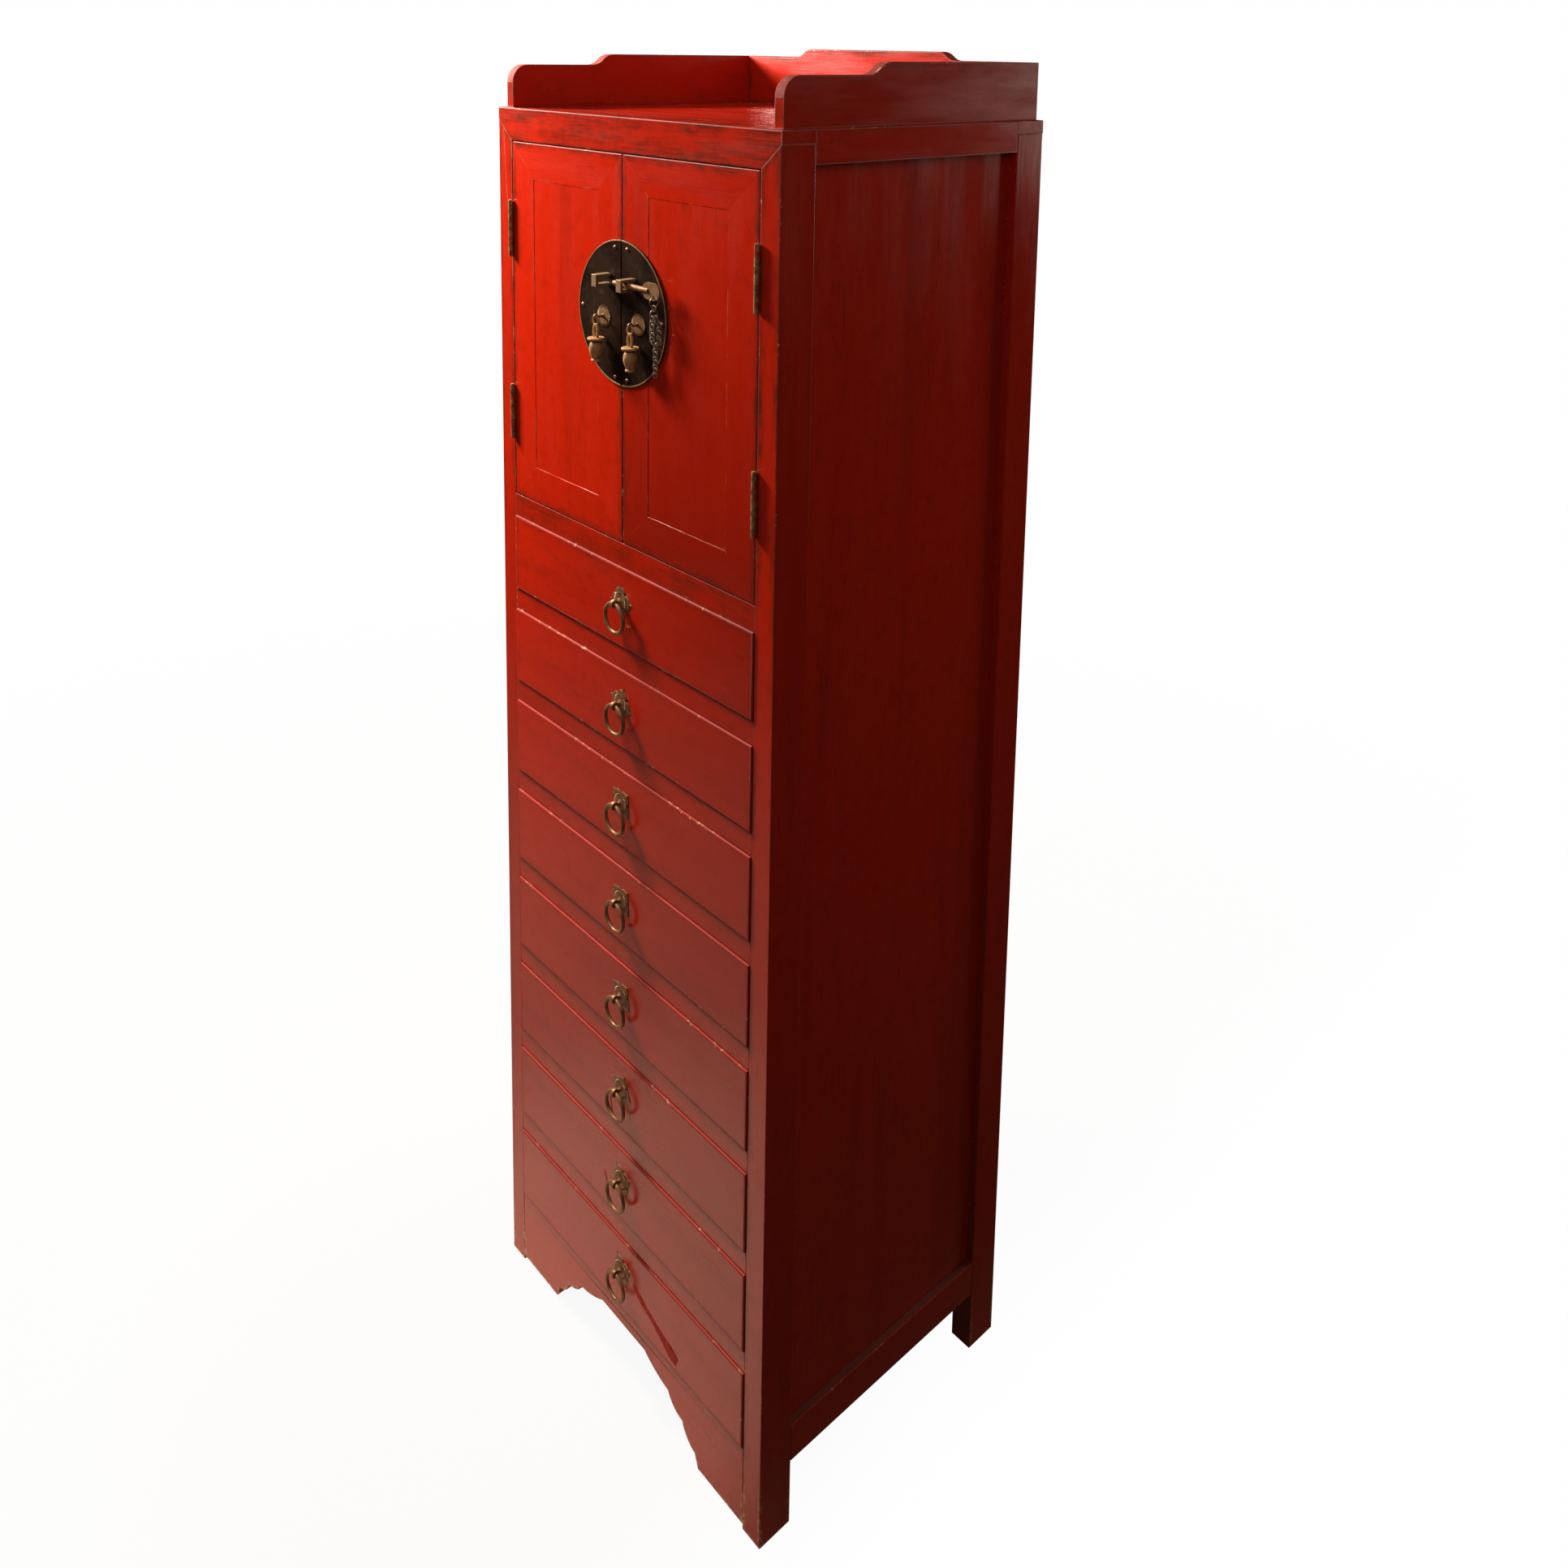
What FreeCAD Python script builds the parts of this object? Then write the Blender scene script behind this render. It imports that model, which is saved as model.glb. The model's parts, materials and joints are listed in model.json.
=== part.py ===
import FreeCAD, Part
import math
import os
import Sketcher

# Tall cabinet of lacquered wood: two doors over eight drawers, with a gallery on top.
# Millimetres, +Z up, the front faces -Y, the origin is under the middle of the whole box.

doc = FreeCAD.newDocument("cabinet")
dim = doc.addObject("Spreadsheet::Sheet", "dim")

drawer_count = 8
loop_links = 5                      # upright links on each side of the chain's loop
inner_links = 6                     # links of the strand that hangs inside the loop
tail_links = 7                      # links of the loose end under the loop

sizes = {
    # carcase
    "width": 500,
    "depth": 390,
    "post_width": 28,
    "post_depth": 44,
    "base_height": 100,             # floor to the lowest drawer opening
    "top_rail_height": 38,
    "mitre_rise": 24,               # height of the slanted joint between top rail and post
    "side_rail_height": 34,
    "side_rail_thickness": 24,
    "top_board_thickness": 12,
    "side_panel_recess": 9,
    "side_panel_thickness": 10,
    "skirt_drop": 24,               # lowest drawer opening down to the foot of the bottom rails
    "skirt_height": 44,
    "back_panel_recess": 10,
    "back_panel_thickness": 8,
    # gallery
    "gallery_thickness": 14,
    "gallery_inset": 6,
    "gallery_front_inset": 8,
    "gallery_back_inset": 4,
    "gallery_low": 50,
    "gallery_step_rise": 13,
    "gallery_step_start": 112,
    "gallery_step_length": 32,
    "gallery_corner": 20,
    "gallery_crest_rise": 10,
    "gallery_crest_half": 108,
    "gallery_crest_slope": 27,
    # apron under the lowest drawer
    "apron_thickness": 18,
    "apron_foot_clear": 6,
    "apron_foot": 78,               # length of the bracket beside each post
    "apron_heel_run": 6,
    "apron_heel_rise": 15,
    "apron_lobe_run": 23,
    "apron_lobe_rise": 22,
    "apron_wave_run": 27,
    "apron_wave_rise": 18,
    "apron_crown_run": 45,
    "apron_crown_rise": 16,
    "apron_curve": 34,              # radius of the two scallops
    "apron_crown_curve": 110,
    # drawers
    "drawer_height": 92.4,
    "drawer_gap": 1,
    "rail_height": 24.8,
    "rail_depth": 40,
    "shelf_rail_height": 26.2,      # rail under the doors
    "drawer_front_thickness": 20,
    "drawer_front_proud": 2,
    "drawer_edge_round": 1.6,
    "drawer_side_thickness": 10,
    "drawer_side_height": 72,
    "drawer_side_gap": 1.5,
    "drawer_bottom_thickness": 6,
    "drawer_back_gap": 18,          # drawer box to the bottom rail behind it
    "runner_width": 20,
    "cupboard_floor_thickness": 14,
    # doors
    "door_opening": 429,
    "door_gap": 1,
    "hinge_gap": 2,
    "meeting_gap": 2,
    "door_thickness": 20,
    "door_stile_width": 45,
    "door_rail_width": 42,
    "door_panel_setback": 0.4,
    "door_panel_thickness": 14,
    # hinges
    "hinge_length": 65,
    "hinge_offset": 71,             # hinge to the near end of the door opening
    "barrel_radius": 2.7,
    "barrel_clear": 0.4,
    "leaf_clear": 0.2,
    "leaf_depth": 15,
    "knuckle_play": 0.4,
    "pin_radius": 1.3,
    "pin_play": 0.05,
    "pin_head_radius": 2.2,
    "pin_head_thickness": 1.2,
    # lock plate
    "lock_height": 257,             # bottom of the door opening to the middle of the plate
    "plate_radius": 80,
    "plate_thickness": 1.5,
    "nail_radius": 2.2,
    "nail_ring": 72,
    "nail_inset": 11,
    "staple_offset": 22.5,
    "staple_rise": 35,              # middle of the plate to the middle of the staples
    "staple_width": 9,
    "staple_strap": 2.2,
    "staple_reach": 20,
    "staple_height": 13.5,
    "rosette_offset": 31.5,
    "rosette_drop": 7,
    "rosette_radius": 12,
    "rosette_thickness": 1.4,
    # pendants
    "pendant_standoff": 12.5,
    "pendant_eye_radius": 3.4,
    "pendant_eye_width": 2.6,
    "pendant_stem_radius": 1.7,
    "pendant_loop": 4.6,
    "pendant_wire": 1.2,
    "loop_play": 0.5,
    "neck_radius": 1.8,
    "neck_length": 13.5,
    "collar_radius": 9.5,
    "collar_edge": 1.4,
    "collar_height": 3.4,
    "waist_radius": 4.8,
    "waist_height": 1.6,
    "vase_shoulder_radius": 6.2,
    "vase_height": 18,
    "vase_curve": 15.5,
    "vase_foot_radius": 4.2,
    "foot_radius": 5.4,
    "foot_height": 3,
    # lock bar and its chain
    "bar_tip": 1.2,                 # meeting line to the bar's tip, drawn back
    "bar_radius": 3,
    "bar_standoff": 11.5,
    "bar_length": 66,
    "paddle_radius": 9,
    "paddle_stretch": 11,           # between the middles of the paddle's round ends
    "paddle_thickness": 2.4,
    "paddle_hole_radius": 1.7,
    "paddle_hole_side": 4.5,
    "paddle_hole_drop": 5.5,
    "ring_radius": 5.2,
    "ring_wire": 0.8,
    "gather_radius": 4.7,           # ring that holds the loop and the strand inside it
    "strand_gap": 4.4,              # loop to the strand in front of it
    "link_radius": 3,
    "link_wire": 0.7,
    "link_play": 0.3,
    # drawer pulls
    "pull_rise": 7,                 # middle of the drawer front to the eye
    "petal_reach": 20,
    "petal_valley": 8.5,
    "petal_curve": 9.5,
    "petal_thickness": 1.2,
    "pull_disc_radius": 11,
    "pull_disc_thickness": 1.2,
    "pull_standoff": 9.5,
    "pull_eye_radius": 5,
    "pull_eye_width": 4.4,
    "pull_stem_radius": 2.6,
    "pull_ring_radius": 16.7,
    "pull_ring_wire": 2.3,
    "pull_ring_play": 0.5,
    # how far each back plate has turned on its drawer, in degrees
    "plate_turn_1": -4,
    "plate_turn_2": 16,
    "plate_turn_3": 43,
    "plate_turn_4": 40,
    "plate_turn_5": 36,
    "plate_turn_6": 20,
    "plate_turn_7": -30,
    "plate_turn_8": -27,
}
for row, (alias, number) in enumerate(sizes.items(), 1):
    dim.set(f"A{row}", str(number))
    dim.setAlias(f"A{row}", alias)
doc.recompute()

# Places that several pieces share, as expressions on the sheet. Depths count back from the front face.
reach = ("max(dim.plate_thickness + dim.staple_reach;"
         " dim.pendant_standoff + dim.collar_radius)")
front = f"(({reach} - dim.depth) / 2)"
half = "(dim.width / 2)"
inner = "(dim.width / 2 - dim.post_width)"
opening = "(dim.drawer_height + 2 * dim.drawer_gap)"
pitch = f"({opening} + dim.rail_height)"
drawers_top = f"(dim.base_height + {drawer_count} * {pitch} - dim.rail_height)"
shelf_top = f"({drawers_top} + dim.shelf_rail_height)"
door_top = f"({shelf_top} + dim.door_opening)"
carcase_top = f"({door_top} + dim.top_rail_height)"
mitre_top = f"({door_top} + dim.mitre_rise)"
skirt_foot = "(dim.base_height - dim.skirt_drop)"
skirt_top = f"({skirt_foot} + dim.skirt_height)"
back_post = "(dim.depth - dim.post_depth)"
between_posts = "(dim.depth - 2 * dim.post_depth)"
back_panel_face = "(dim.depth - dim.back_panel_recess - dim.back_panel_thickness)"
gallery_high = "(dim.gallery_low + dim.gallery_step_rise)"
lock_middle = f"({shelf_top} + dim.lock_height)"
staple_middle = f"({lock_middle} + dim.staple_rise)"
plate_face = "(-dim.plate_thickness)"
rosette_face = "(-dim.plate_thickness - dim.rosette_thickness)"

upright = FreeCAD.Rotation()
to_front = FreeCAD.Rotation(FreeCAD.Vector(1, 0, 0), 90)
to_back = FreeCAD.Rotation(FreeCAD.Vector(1, 0, 0), -90)
to_right = FreeCAD.Rotation(FreeCAD.Vector(0, 1, 0), 90)

nodes = []


def value(expression):
    return float(dim.evalExpression(expression))


def bind(piece, **sizes_of_piece):
    for name, expression in sizes_of_piece.items():
        piece.setExpression(name, expression)


def place(piece, x, y, z, turn=upright):
    piece.Placement = FreeCAD.Placement(FreeCAD.Vector(), turn)
    piece.setExpression("Placement.Base.x", x)
    piece.setExpression("Placement.Base.y", f"{front} + {y}")
    piece.setExpression("Placement.Base.z", z)
    return piece


def mirrored(side, low, high):
    """Lowest x of a stretch from low to high, on the right side or mirrored to the left."""
    return f"({low})" if side > 0 else f"(-({high}))"


def board(name, x, y, z, length, width, height):
    piece = doc.addObject("Part::Box", name)
    bind(piece, Length=length, Width=width, Height=height)
    return place(piece, x, y, z)


def rod(name, turn, radius, length, x, y, z):
    piece = doc.addObject("Part::Cylinder", name)
    bind(piece, Radius=radius, Height=length)
    return place(piece, x, y, z, turn)


def hoop(name, turn, radius, wire, x, y, z):
    piece = doc.addObject("Part::Torus", name)
    bind(piece, Radius1=radius, Radius2=wire)
    return place(piece, x, y, z, turn)


def joined(name, *pieces):
    piece = doc.addObject("Part::MultiFuse", name)
    piece.Shapes = list(pieces)
    return piece


def cut(name, base, tool):
    piece = doc.addObject("Part::Cut", name)
    piece.Base = base
    piece.Tool = tool
    return piece


def node(label, *pieces):
    if len(pieces) == 1:
        piece = pieces[0]
    else:
        piece = doc.addObject("Part::Compound", label)
        piece.Links = list(pieces)
    piece.Label = label
    nodes.append(piece)


def draw(sketch, corners, bends):
    """Closed outline through the corners. A bend gives a side its radius, minus for a hollow turn."""
    points = [FreeCAD.Vector(value(across), value(along), 0) for across, along in corners]
    starts = []
    for side, start in enumerate(points):
        end = points[(side + 1) % len(points)]
        if side not in bends:
            sketch.addGeometry(Part.LineSegment(start, end), False)
            starts.append((1, 2))
            continue
        radius_text, turn = bends[side]
        radius = value(radius_text)
        chord = end - start
        left = FreeCAD.Vector(-chord.y, chord.x, 0).normalize()
        rise = math.sqrt(radius ** 2 - (chord.Length / 2) ** 2)
        middle = (start + end) * 0.5 + left * (rise * turn)
        first, last = (start, end) if turn > 0 else (end, start)
        angles = [math.atan2(p.y - middle.y, p.x - middle.x) for p in (first, last)]
        circle = Part.Circle(middle, FreeCAD.Vector(0, 0, 1), radius)
        sketch.addGeometry(Part.ArcOfCircle(circle, angles[0], angles[1]), False)
        starts.append((1, 2) if turn > 0 else (2, 1))
    for side in range(len(points)):
        after = (side + 1) % len(points)
        joint = Sketcher.Constraint("Coincident", side, starts[side][1], after, starts[after][0])
        sketch.addConstraint(joint)
    for side, (across, along) in enumerate(corners):
        for kind, text in (("DistanceX", across), ("DistanceY", along)):
            gap = Sketcher.Constraint(kind, -1, 1, side, starts[side][0], value(text))
            index = sketch.addConstraint(gap)
            sketch.setExpression(f"Constraints[{index}]", text)
        if side in bends:
            text = bends[side][0]
            index = sketch.addConstraint(Sketcher.Constraint("Radius", side, value(text)))
            sketch.setExpression(f"Constraints[{index}]", text)


def sketched_body(name, plane, corners, bends):
    body = doc.addObject("PartDesign::Body", name)
    sketch = body.newObject("Sketcher::SketchObject", f"{name}_outline")
    planes = {feature.Role: feature for feature in body.Origin.OriginFeatures}
    sketch.AttachmentSupport = [(planes[plane], "")]
    sketch.MapMode = "FlatFace"
    draw(sketch, corners, bends)
    return body, sketch


def sawn(name, plane, corners, thickness, x="0", y="0", z="0", bends=None):
    """Board sawn to an outline: XZ_Plane goes back from y, YZ_Plane goes right from x."""
    body, sketch = sketched_body(name, plane, corners, bends or {})
    pad = body.newObject("PartDesign::Pad", f"{name}_pad")
    pad.Profile = sketch
    pad.Reversed = plane == "XZ_Plane"
    bind(pad, Length=thickness)
    place(body, x, y, z)
    return body


def turned(name, corners, bends, x, y, z):
    """Piece turned about the upright axis."""
    body, sketch = sketched_body(name, "XZ_Plane", corners, bends)
    spin = body.newObject("PartDesign::Revolution", f"{name}_turning")
    spin.Profile = sketch
    spin.ReferenceAxis = (sketch, ["V_Axis"])
    spin.Angle = 360
    place(body, x, y, z)
    return body


def ogee_radius(run, rise):
    return f"((({run}) / 2) ^ 2 + (({rise}) / 2) ^ 2) / ({rise})"


def carcase():
    for label, side, y in (("front_left_post", -1, "0"), ("front_right_post", 1, "0"),
                           ("back_left_post", -1, back_post), ("back_right_post", 1, back_post)):
        outline = [(f"{side} * {half}", "0"), (f"{side} * {inner}", "0"),
                   (f"{side} * {inner}", door_top), (f"{side} * {half}", mitre_top)]
        node(label, sawn(label, "XZ_Plane", outline, "dim.post_depth", y=y))

    rail = [(f"-{inner}", door_top), (inner, door_top), (half, mitre_top), (half, carcase_top),
            (f"-{half}", carcase_top), (f"-{half}", mitre_top)]
    frame = [sawn("front_top_rail", "XZ_Plane", rail, "dim.post_depth"),
             sawn("back_top_rail", "XZ_Plane", rail, "dim.post_depth", y=back_post)]
    panels = []
    skirts = [board("back_bottom_rail", f"-{inner}", "dim.depth - dim.side_rail_thickness",
                    skirt_foot, f"2 * {inner}", "dim.side_rail_thickness", "dim.skirt_height")]
    for name, side in (("left", -1), ("right", 1)):
        rail_x = mirrored(side, f"{half} - dim.side_rail_thickness", half)
        panel_out = f"{half} - dim.side_panel_recess"
        panel_x = mirrored(side, f"{panel_out} - dim.side_panel_thickness", panel_out)
        rail_z = f"{carcase_top} - dim.side_rail_height"
        frame.append(board(f"{name}_top_rail", rail_x, "dim.post_depth", rail_z,
                           "dim.side_rail_thickness", between_posts, "dim.side_rail_height"))
        skirts.append(board(f"{name}_bottom_rail", rail_x, "dim.post_depth", skirt_foot,
                            "dim.side_rail_thickness", between_posts, "dim.skirt_height"))
        panels.append(board(f"{name}_side_panel", panel_x, "dim.post_depth", skirt_top,
                            "dim.side_panel_thickness", between_posts, f"{rail_z} - {skirt_top}"))
    node("top_frame", *frame)
    node("side_panels", *panels)
    node("bottom_rails", *skirts)
    node("top_panel", board("top_panel", f"-{half} + dim.side_rail_thickness", "dim.post_depth",
                            f"{carcase_top} - dim.top_board_thickness",
                            "dim.width - 2 * dim.side_rail_thickness", between_posts,
                            "dim.top_board_thickness"))
    node("back_panel", board("back_panel", f"-{inner}", back_panel_face, skirt_top,
                             f"2 * {inner}", "dim.back_panel_thickness", f"{door_top} - {skirt_top}"))
    node("cupboard_floor", board("cupboard_floor", f"-{inner}", "dim.rail_depth",
                                 f"{shelf_top} - dim.cupboard_floor_thickness", f"2 * {inner}",
                                 f"{back_panel_face} - dim.rail_depth", "dim.cupboard_floor_thickness"))


def gallery():
    step = ogee_radius("dim.gallery_step_length", "dim.gallery_step_rise")
    start = "dim.gallery_front_inset"
    step_at = f"{start} + dim.gallery_step_start"
    back = "dim.depth - dim.gallery_back_inset"
    outline = [(start, "0"), (back, "0"), (back, gallery_high),
               (f"{step_at} + dim.gallery_step_length", gallery_high),
               (f"{step_at} + dim.gallery_step_length / 2", "dim.gallery_low + dim.gallery_step_rise / 2"),
               (step_at, "dim.gallery_low"), (f"{start} + dim.gallery_corner", "dim.gallery_low"),
               (start, "dim.gallery_low - dim.gallery_corner")]
    bends = {3: (step, 1), 4: (step, -1), 6: ("dim.gallery_corner", 1)}
    sides = []
    outside = f"{half} - dim.gallery_inset"
    for name, side in (("left", -1), ("right", 1)):
        x = mirrored(side, f"{outside} - dim.gallery_thickness", outside)
        sides.append(sawn(f"{name}_gallery", "YZ_Plane", outline, "dim.gallery_thickness",
                          x=x, z=carcase_top, bends=bends))
    node("gallery_sides", *sides)

    slope = "dim.gallery_crest_slope"
    crest = ogee_radius(slope, "dim.gallery_crest_rise")
    end = f"({outside} - dim.gallery_thickness)"
    high = f"({gallery_high} + dim.gallery_crest_rise)"
    half_way = f"{gallery_high} + dim.gallery_crest_rise / 2"
    rising = [(f"dim.gallery_crest_half + {slope}", gallery_high),
              (f"dim.gallery_crest_half + {slope} / 2", half_way), ("dim.gallery_crest_half", high)]
    falling = [(f"-({across})", along) for across, along in reversed(rising)]
    outline = [(f"-{end}", "0"), (end, "0"), (end, gallery_high), *rising, *falling,
               (f"-{end}", gallery_high)]
    bends = {3: (crest, -1), 4: (crest, 1), 6: (crest, 1), 7: (crest, -1)}
    node("gallery_back", sawn("gallery_back", "XZ_Plane", outline, "dim.gallery_thickness",
                              y=f"{back} - dim.gallery_thickness", z=carcase_top, bends=bends))


def apron():
    steps = [("dim.apron_foot", "0"), ("dim.apron_heel_run", "dim.apron_heel_rise"),
             ("dim.apron_lobe_run", "dim.apron_lobe_rise"), ("dim.apron_wave_run", "dim.apron_wave_rise"),
             ("dim.apron_crown_run", "dim.apron_crown_rise")]
    across, along = f"-{inner}", "dim.apron_foot_clear"
    left = [(across, along)]
    for run, rise in steps:
        across, along = f"{across} + {run}", f"{along} + {rise}"
        left.append((across, along))
    right = [(f"-({across})", along) for across, along in reversed(left)]
    outline = [*left, *right, (inner, "dim.base_height"), (f"-{inner}", "dim.base_height")]
    scallop, crown = ("dim.apron_curve", 1), ("dim.apron_crown_curve", 1)
    bends = {2: scallop, 3: scallop, 4: crown, 6: crown, 7: scallop, 8: scallop}
    node("front_apron", sawn("front_apron", "XZ_Plane", outline, "dim.apron_thickness", bends=bends))


def opening_floor(number):
    """Height of the bottom of a drawer opening; the first drawer is the top one."""
    return f"(dim.base_height + {drawer_count - number} * {pitch})"


def rails():
    bars = [board("shelf_rail", f"-{inner}", "0", drawers_top, f"2 * {inner}", "dim.rail_depth",
                  "dim.shelf_rail_height")]
    runners = []
    for number in range(1, drawer_count + 1):
        rail_z = f"{opening_floor(number)} - dim.rail_height"
        start = "dim.apron_thickness" if number == drawer_count else "0"
        bars.append(board(f"rail_{number}", f"-{inner}", start, rail_z, f"2 * {inner}",
                          f"dim.rail_depth - {start}", "dim.rail_height"))
        for name, side in (("left", -1), ("right", 1)):
            x = mirrored(side, f"{inner} - dim.runner_width", inner)
            length = "dim.depth - dim.side_rail_thickness - dim.rail_depth"
            runners.append(board(f"{name}_runner_{number}", x, "dim.rail_depth", rail_z,
                                 "dim.runner_width", length, "dim.rail_height"))
    node("drawer_rails", *bars)
    node("drawer_runners", *runners)


def pull(number, z):
    face = "-dim.drawer_front_proud"
    disc_face = f"{face} - dim.petal_thickness - dim.pull_disc_thickness"
    axis_y = f"{face} - dim.pull_standoff"
    outline = []
    for corner in range(8):
        angle = math.radians(45 * corner)
        radius = "dim.petal_valley" if corner % 2 else "dim.petal_reach"
        outline.append((f"{math.sin(-angle):.6f} * {radius}", f"{math.cos(angle):.6f} * {radius}"))
    bends = {side: ("dim.petal_curve", 1) for side in range(8)}
    plate = sawn(f"petals_{number}", "XZ_Plane", outline, "dim.petal_thickness", bends=bends)
    place(plate, "0", f"{face} - dim.petal_thickness", z, FreeCAD.Rotation(FreeCAD.Vector(0, 1, 0), 1))
    plate.setExpression("Placement.Rotation.Angle", f"dim.plate_turn_{number}")
    disc = rod(f"disc_{number}", to_back, "dim.pull_disc_radius", "dim.pull_disc_thickness",
               "0", disc_face, z)
    stem = rod(f"stem_{number}", to_back, "dim.pull_stem_radius", f"{disc_face} - ({axis_y})",
               "0", axis_y, z)
    eye = rod(f"eye_{number}", to_right, "dim.pull_eye_radius", "dim.pull_eye_width",
              "-dim.pull_eye_width / 2", axis_y, z)
    bore = rod(f"bore_{number}", to_right, "dim.pull_ring_wire + dim.pull_ring_play",
               "2 * dim.pull_eye_width", "-dim.pull_eye_width", axis_y, z)
    eyelet = cut(f"eyelet_{number}", joined(f"eye_stem_{number}", eye, stem), bore)
    node(f"drawer_{number}_pull", plate, disc, eyelet)
    node(f"drawer_{number}_ring", hoop(f"ring_{number}", to_front, "dim.pull_ring_radius",
                                       "dim.pull_ring_wire", "0", axis_y, f"{z} - dim.pull_ring_radius"))


def drawer(number):
    z = f"({opening_floor(number)} + dim.drawer_gap)"
    edge = f"({inner} - dim.drawer_gap)"
    body = doc.addObject("PartDesign::Body", f"front_{number}")
    block = body.newObject("PartDesign::AdditiveBox", f"front_block_{number}")
    bind(block, Length=f"2 * {edge}", Width="dim.drawer_front_thickness", Height="dim.drawer_height")
    place(body, f"-{edge}", "-dim.drawer_front_proud", z)
    doc.recompute()
    shown = [f"Edge{index}" for index, line in enumerate(block.Shape.Edges, 1)
             if abs(line.BoundBox.YMax - block.Shape.BoundBox.YMin) < 0.001]
    ease = body.newObject("PartDesign::Fillet", f"front_ease_{number}")
    ease.Base = (block, shown)
    bind(ease, Radius="dim.drawer_edge_round")
    node(f"drawer_{number}_front", body)

    start = "(dim.drawer_front_thickness - dim.drawer_front_proud)"
    out = f"({inner} - dim.drawer_side_gap)"
    within = f"({out} - dim.drawer_side_thickness)"
    length = f"(dim.depth - dim.side_rail_thickness - dim.drawer_back_gap - {start})"
    back = f"({start} + {length} - dim.drawer_side_thickness)"
    pieces = [board(f"drawer_back_{number}", f"-{within}", back, z, f"2 * {within}",
                    "dim.drawer_side_thickness", "dim.drawer_side_height"),
              board(f"drawer_bottom_{number}", f"-{within}", start, z, f"2 * {within}",
                    f"{back} - {start}", "dim.drawer_bottom_thickness")]
    for name, side in (("left", -1), ("right", 1)):
        pieces.append(board(f"drawer_{name}_{number}", mirrored(side, within, out), start, z,
                            "dim.drawer_side_thickness", length, "dim.drawer_side_height"))
    node(f"drawer_{number}_box", *pieces)
    pull(number, f"({z} + dim.drawer_height / 2 + dim.pull_rise)")


def door(name, side):
    hung = f"({inner} - dim.hinge_gap)"
    free = "(dim.meeting_gap / 2)"
    low = f"({shelf_top} + dim.door_gap)"
    high = f"({door_top} - dim.door_gap)"
    hung_in = f"({hung} - dim.door_stile_width)"
    free_in = f"({free} + dim.door_stile_width)"
    low_in = f"({low} + dim.door_rail_width)"
    high_in = f"({high} - dim.door_rail_width)"
    outside = [(hung, low), (hung, high), (free, high), (free, low)]
    inside = [(hung_in, low_in), (hung_in, high_in), (free_in, high_in), (free_in, low_in)]
    members = []
    for index, kind in enumerate(("hung_stile", "top_rail", "free_stile", "bottom_rail")):
        after = (index + 1) % 4
        corners = [outside[index], outside[after], inside[after], inside[index]]
        corners = [(f"{side} * {across}", along) for across, along in corners]
        members.append(sawn(f"{name}_{kind}", "XZ_Plane", corners, "dim.door_thickness"))
    node(f"{name}_door_frame", *members)
    node(f"{name}_door_panel", board(f"{name}_door_panel", mirrored(side, free_in, hung_in),
                                     "dim.door_panel_setback", low_in, f"{hung_in} - {free_in}",
                                     "dim.door_panel_thickness", f"{high_in} - {low_in}"))


def leaf(name, x, z, knuckles, side):
    """One hinge leaf in the gap beside the door, with its knuckles in front of the face."""
    thickness = "((dim.hinge_gap - dim.leaf_clear) / 2)"
    axis_x = f"{side} * ({inner} - dim.hinge_gap / 2)"
    axis_y = "(-dim.barrel_radius - dim.barrel_clear)"
    pieces = [board(f"{name}_plate", x, "0", z, thickness, "dim.leaf_depth", "dim.hinge_length")]
    for index, (start, end) in enumerate(knuckles):
        knuckle_z = f"{z} + {start}"
        pieces.append(rod(f"{name}_knuckle_{index}", upright, "dim.barrel_radius", f"{end} - ({start})",
                          axis_x, axis_y, knuckle_z))
        pieces.append(board(f"{name}_tab_{index}", x, axis_y, knuckle_z, thickness,
                            f"dim.leaf_depth / 2 - {axis_y}", f"{end} - ({start})"))
    bore = rod(f"{name}_bore", upright, "dim.pin_radius + dim.pin_play", "dim.hinge_length",
               axis_x, axis_y, z)
    return cut(name, joined(f"{name}_solid", *pieces), bore)


def hinges():
    third = "dim.hinge_length / 3"
    ends = [("0", f"{third} - dim.knuckle_play / 2"),
            (f"2 * {third} + dim.knuckle_play / 2", "dim.hinge_length")]
    middle = [(f"{third} + dim.knuckle_play / 2", f"2 * {third} - dim.knuckle_play / 2")]
    thickness = "(dim.hinge_gap - dim.leaf_clear) / 2"
    heights = {"lower": f"({shelf_top} + dim.hinge_offset)",
               "upper": f"({door_top} - dim.hinge_offset - dim.hinge_length)"}
    fixed = []
    for name, side in (("left", -1), ("right", 1)):
        moving = []
        for place_name, z in heights.items():
            label = f"{name}_{place_name}_hinge"
            frame_x = mirrored(side, f"{inner} - {thickness}", inner)
            edge = f"{inner} - dim.hinge_gap"
            door_x = mirrored(side, edge, f"{edge} + {thickness}")
            fixed.append(leaf(f"{label}_frame_leaf", frame_x, z, ends, side))
            moving.append(leaf(f"{label}_door_leaf", door_x, z, middle, side))
            axis_x = f"{side} * ({inner} - dim.hinge_gap / 2)"
            axis_y = "(-dim.barrel_radius - dim.barrel_clear)"
            shank = rod(f"{label}_shank", upright, "dim.pin_radius", "dim.hinge_length", axis_x, axis_y, z)
            caps = [rod(f"{label}_cap_{index}", upright, "dim.pin_head_radius", "dim.pin_head_thickness",
                        axis_x, axis_y, cap_z)
                    for index, cap_z in enumerate((f"{z} - dim.pin_head_thickness",
                                                   f"{z} + dim.hinge_length"))]
            fixed.append(joined(f"{label}_pin", shank, *caps))
        node(f"{name}_hinge_leaves", *moving)
    node("hinge_frame_leaves", *fixed)


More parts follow.
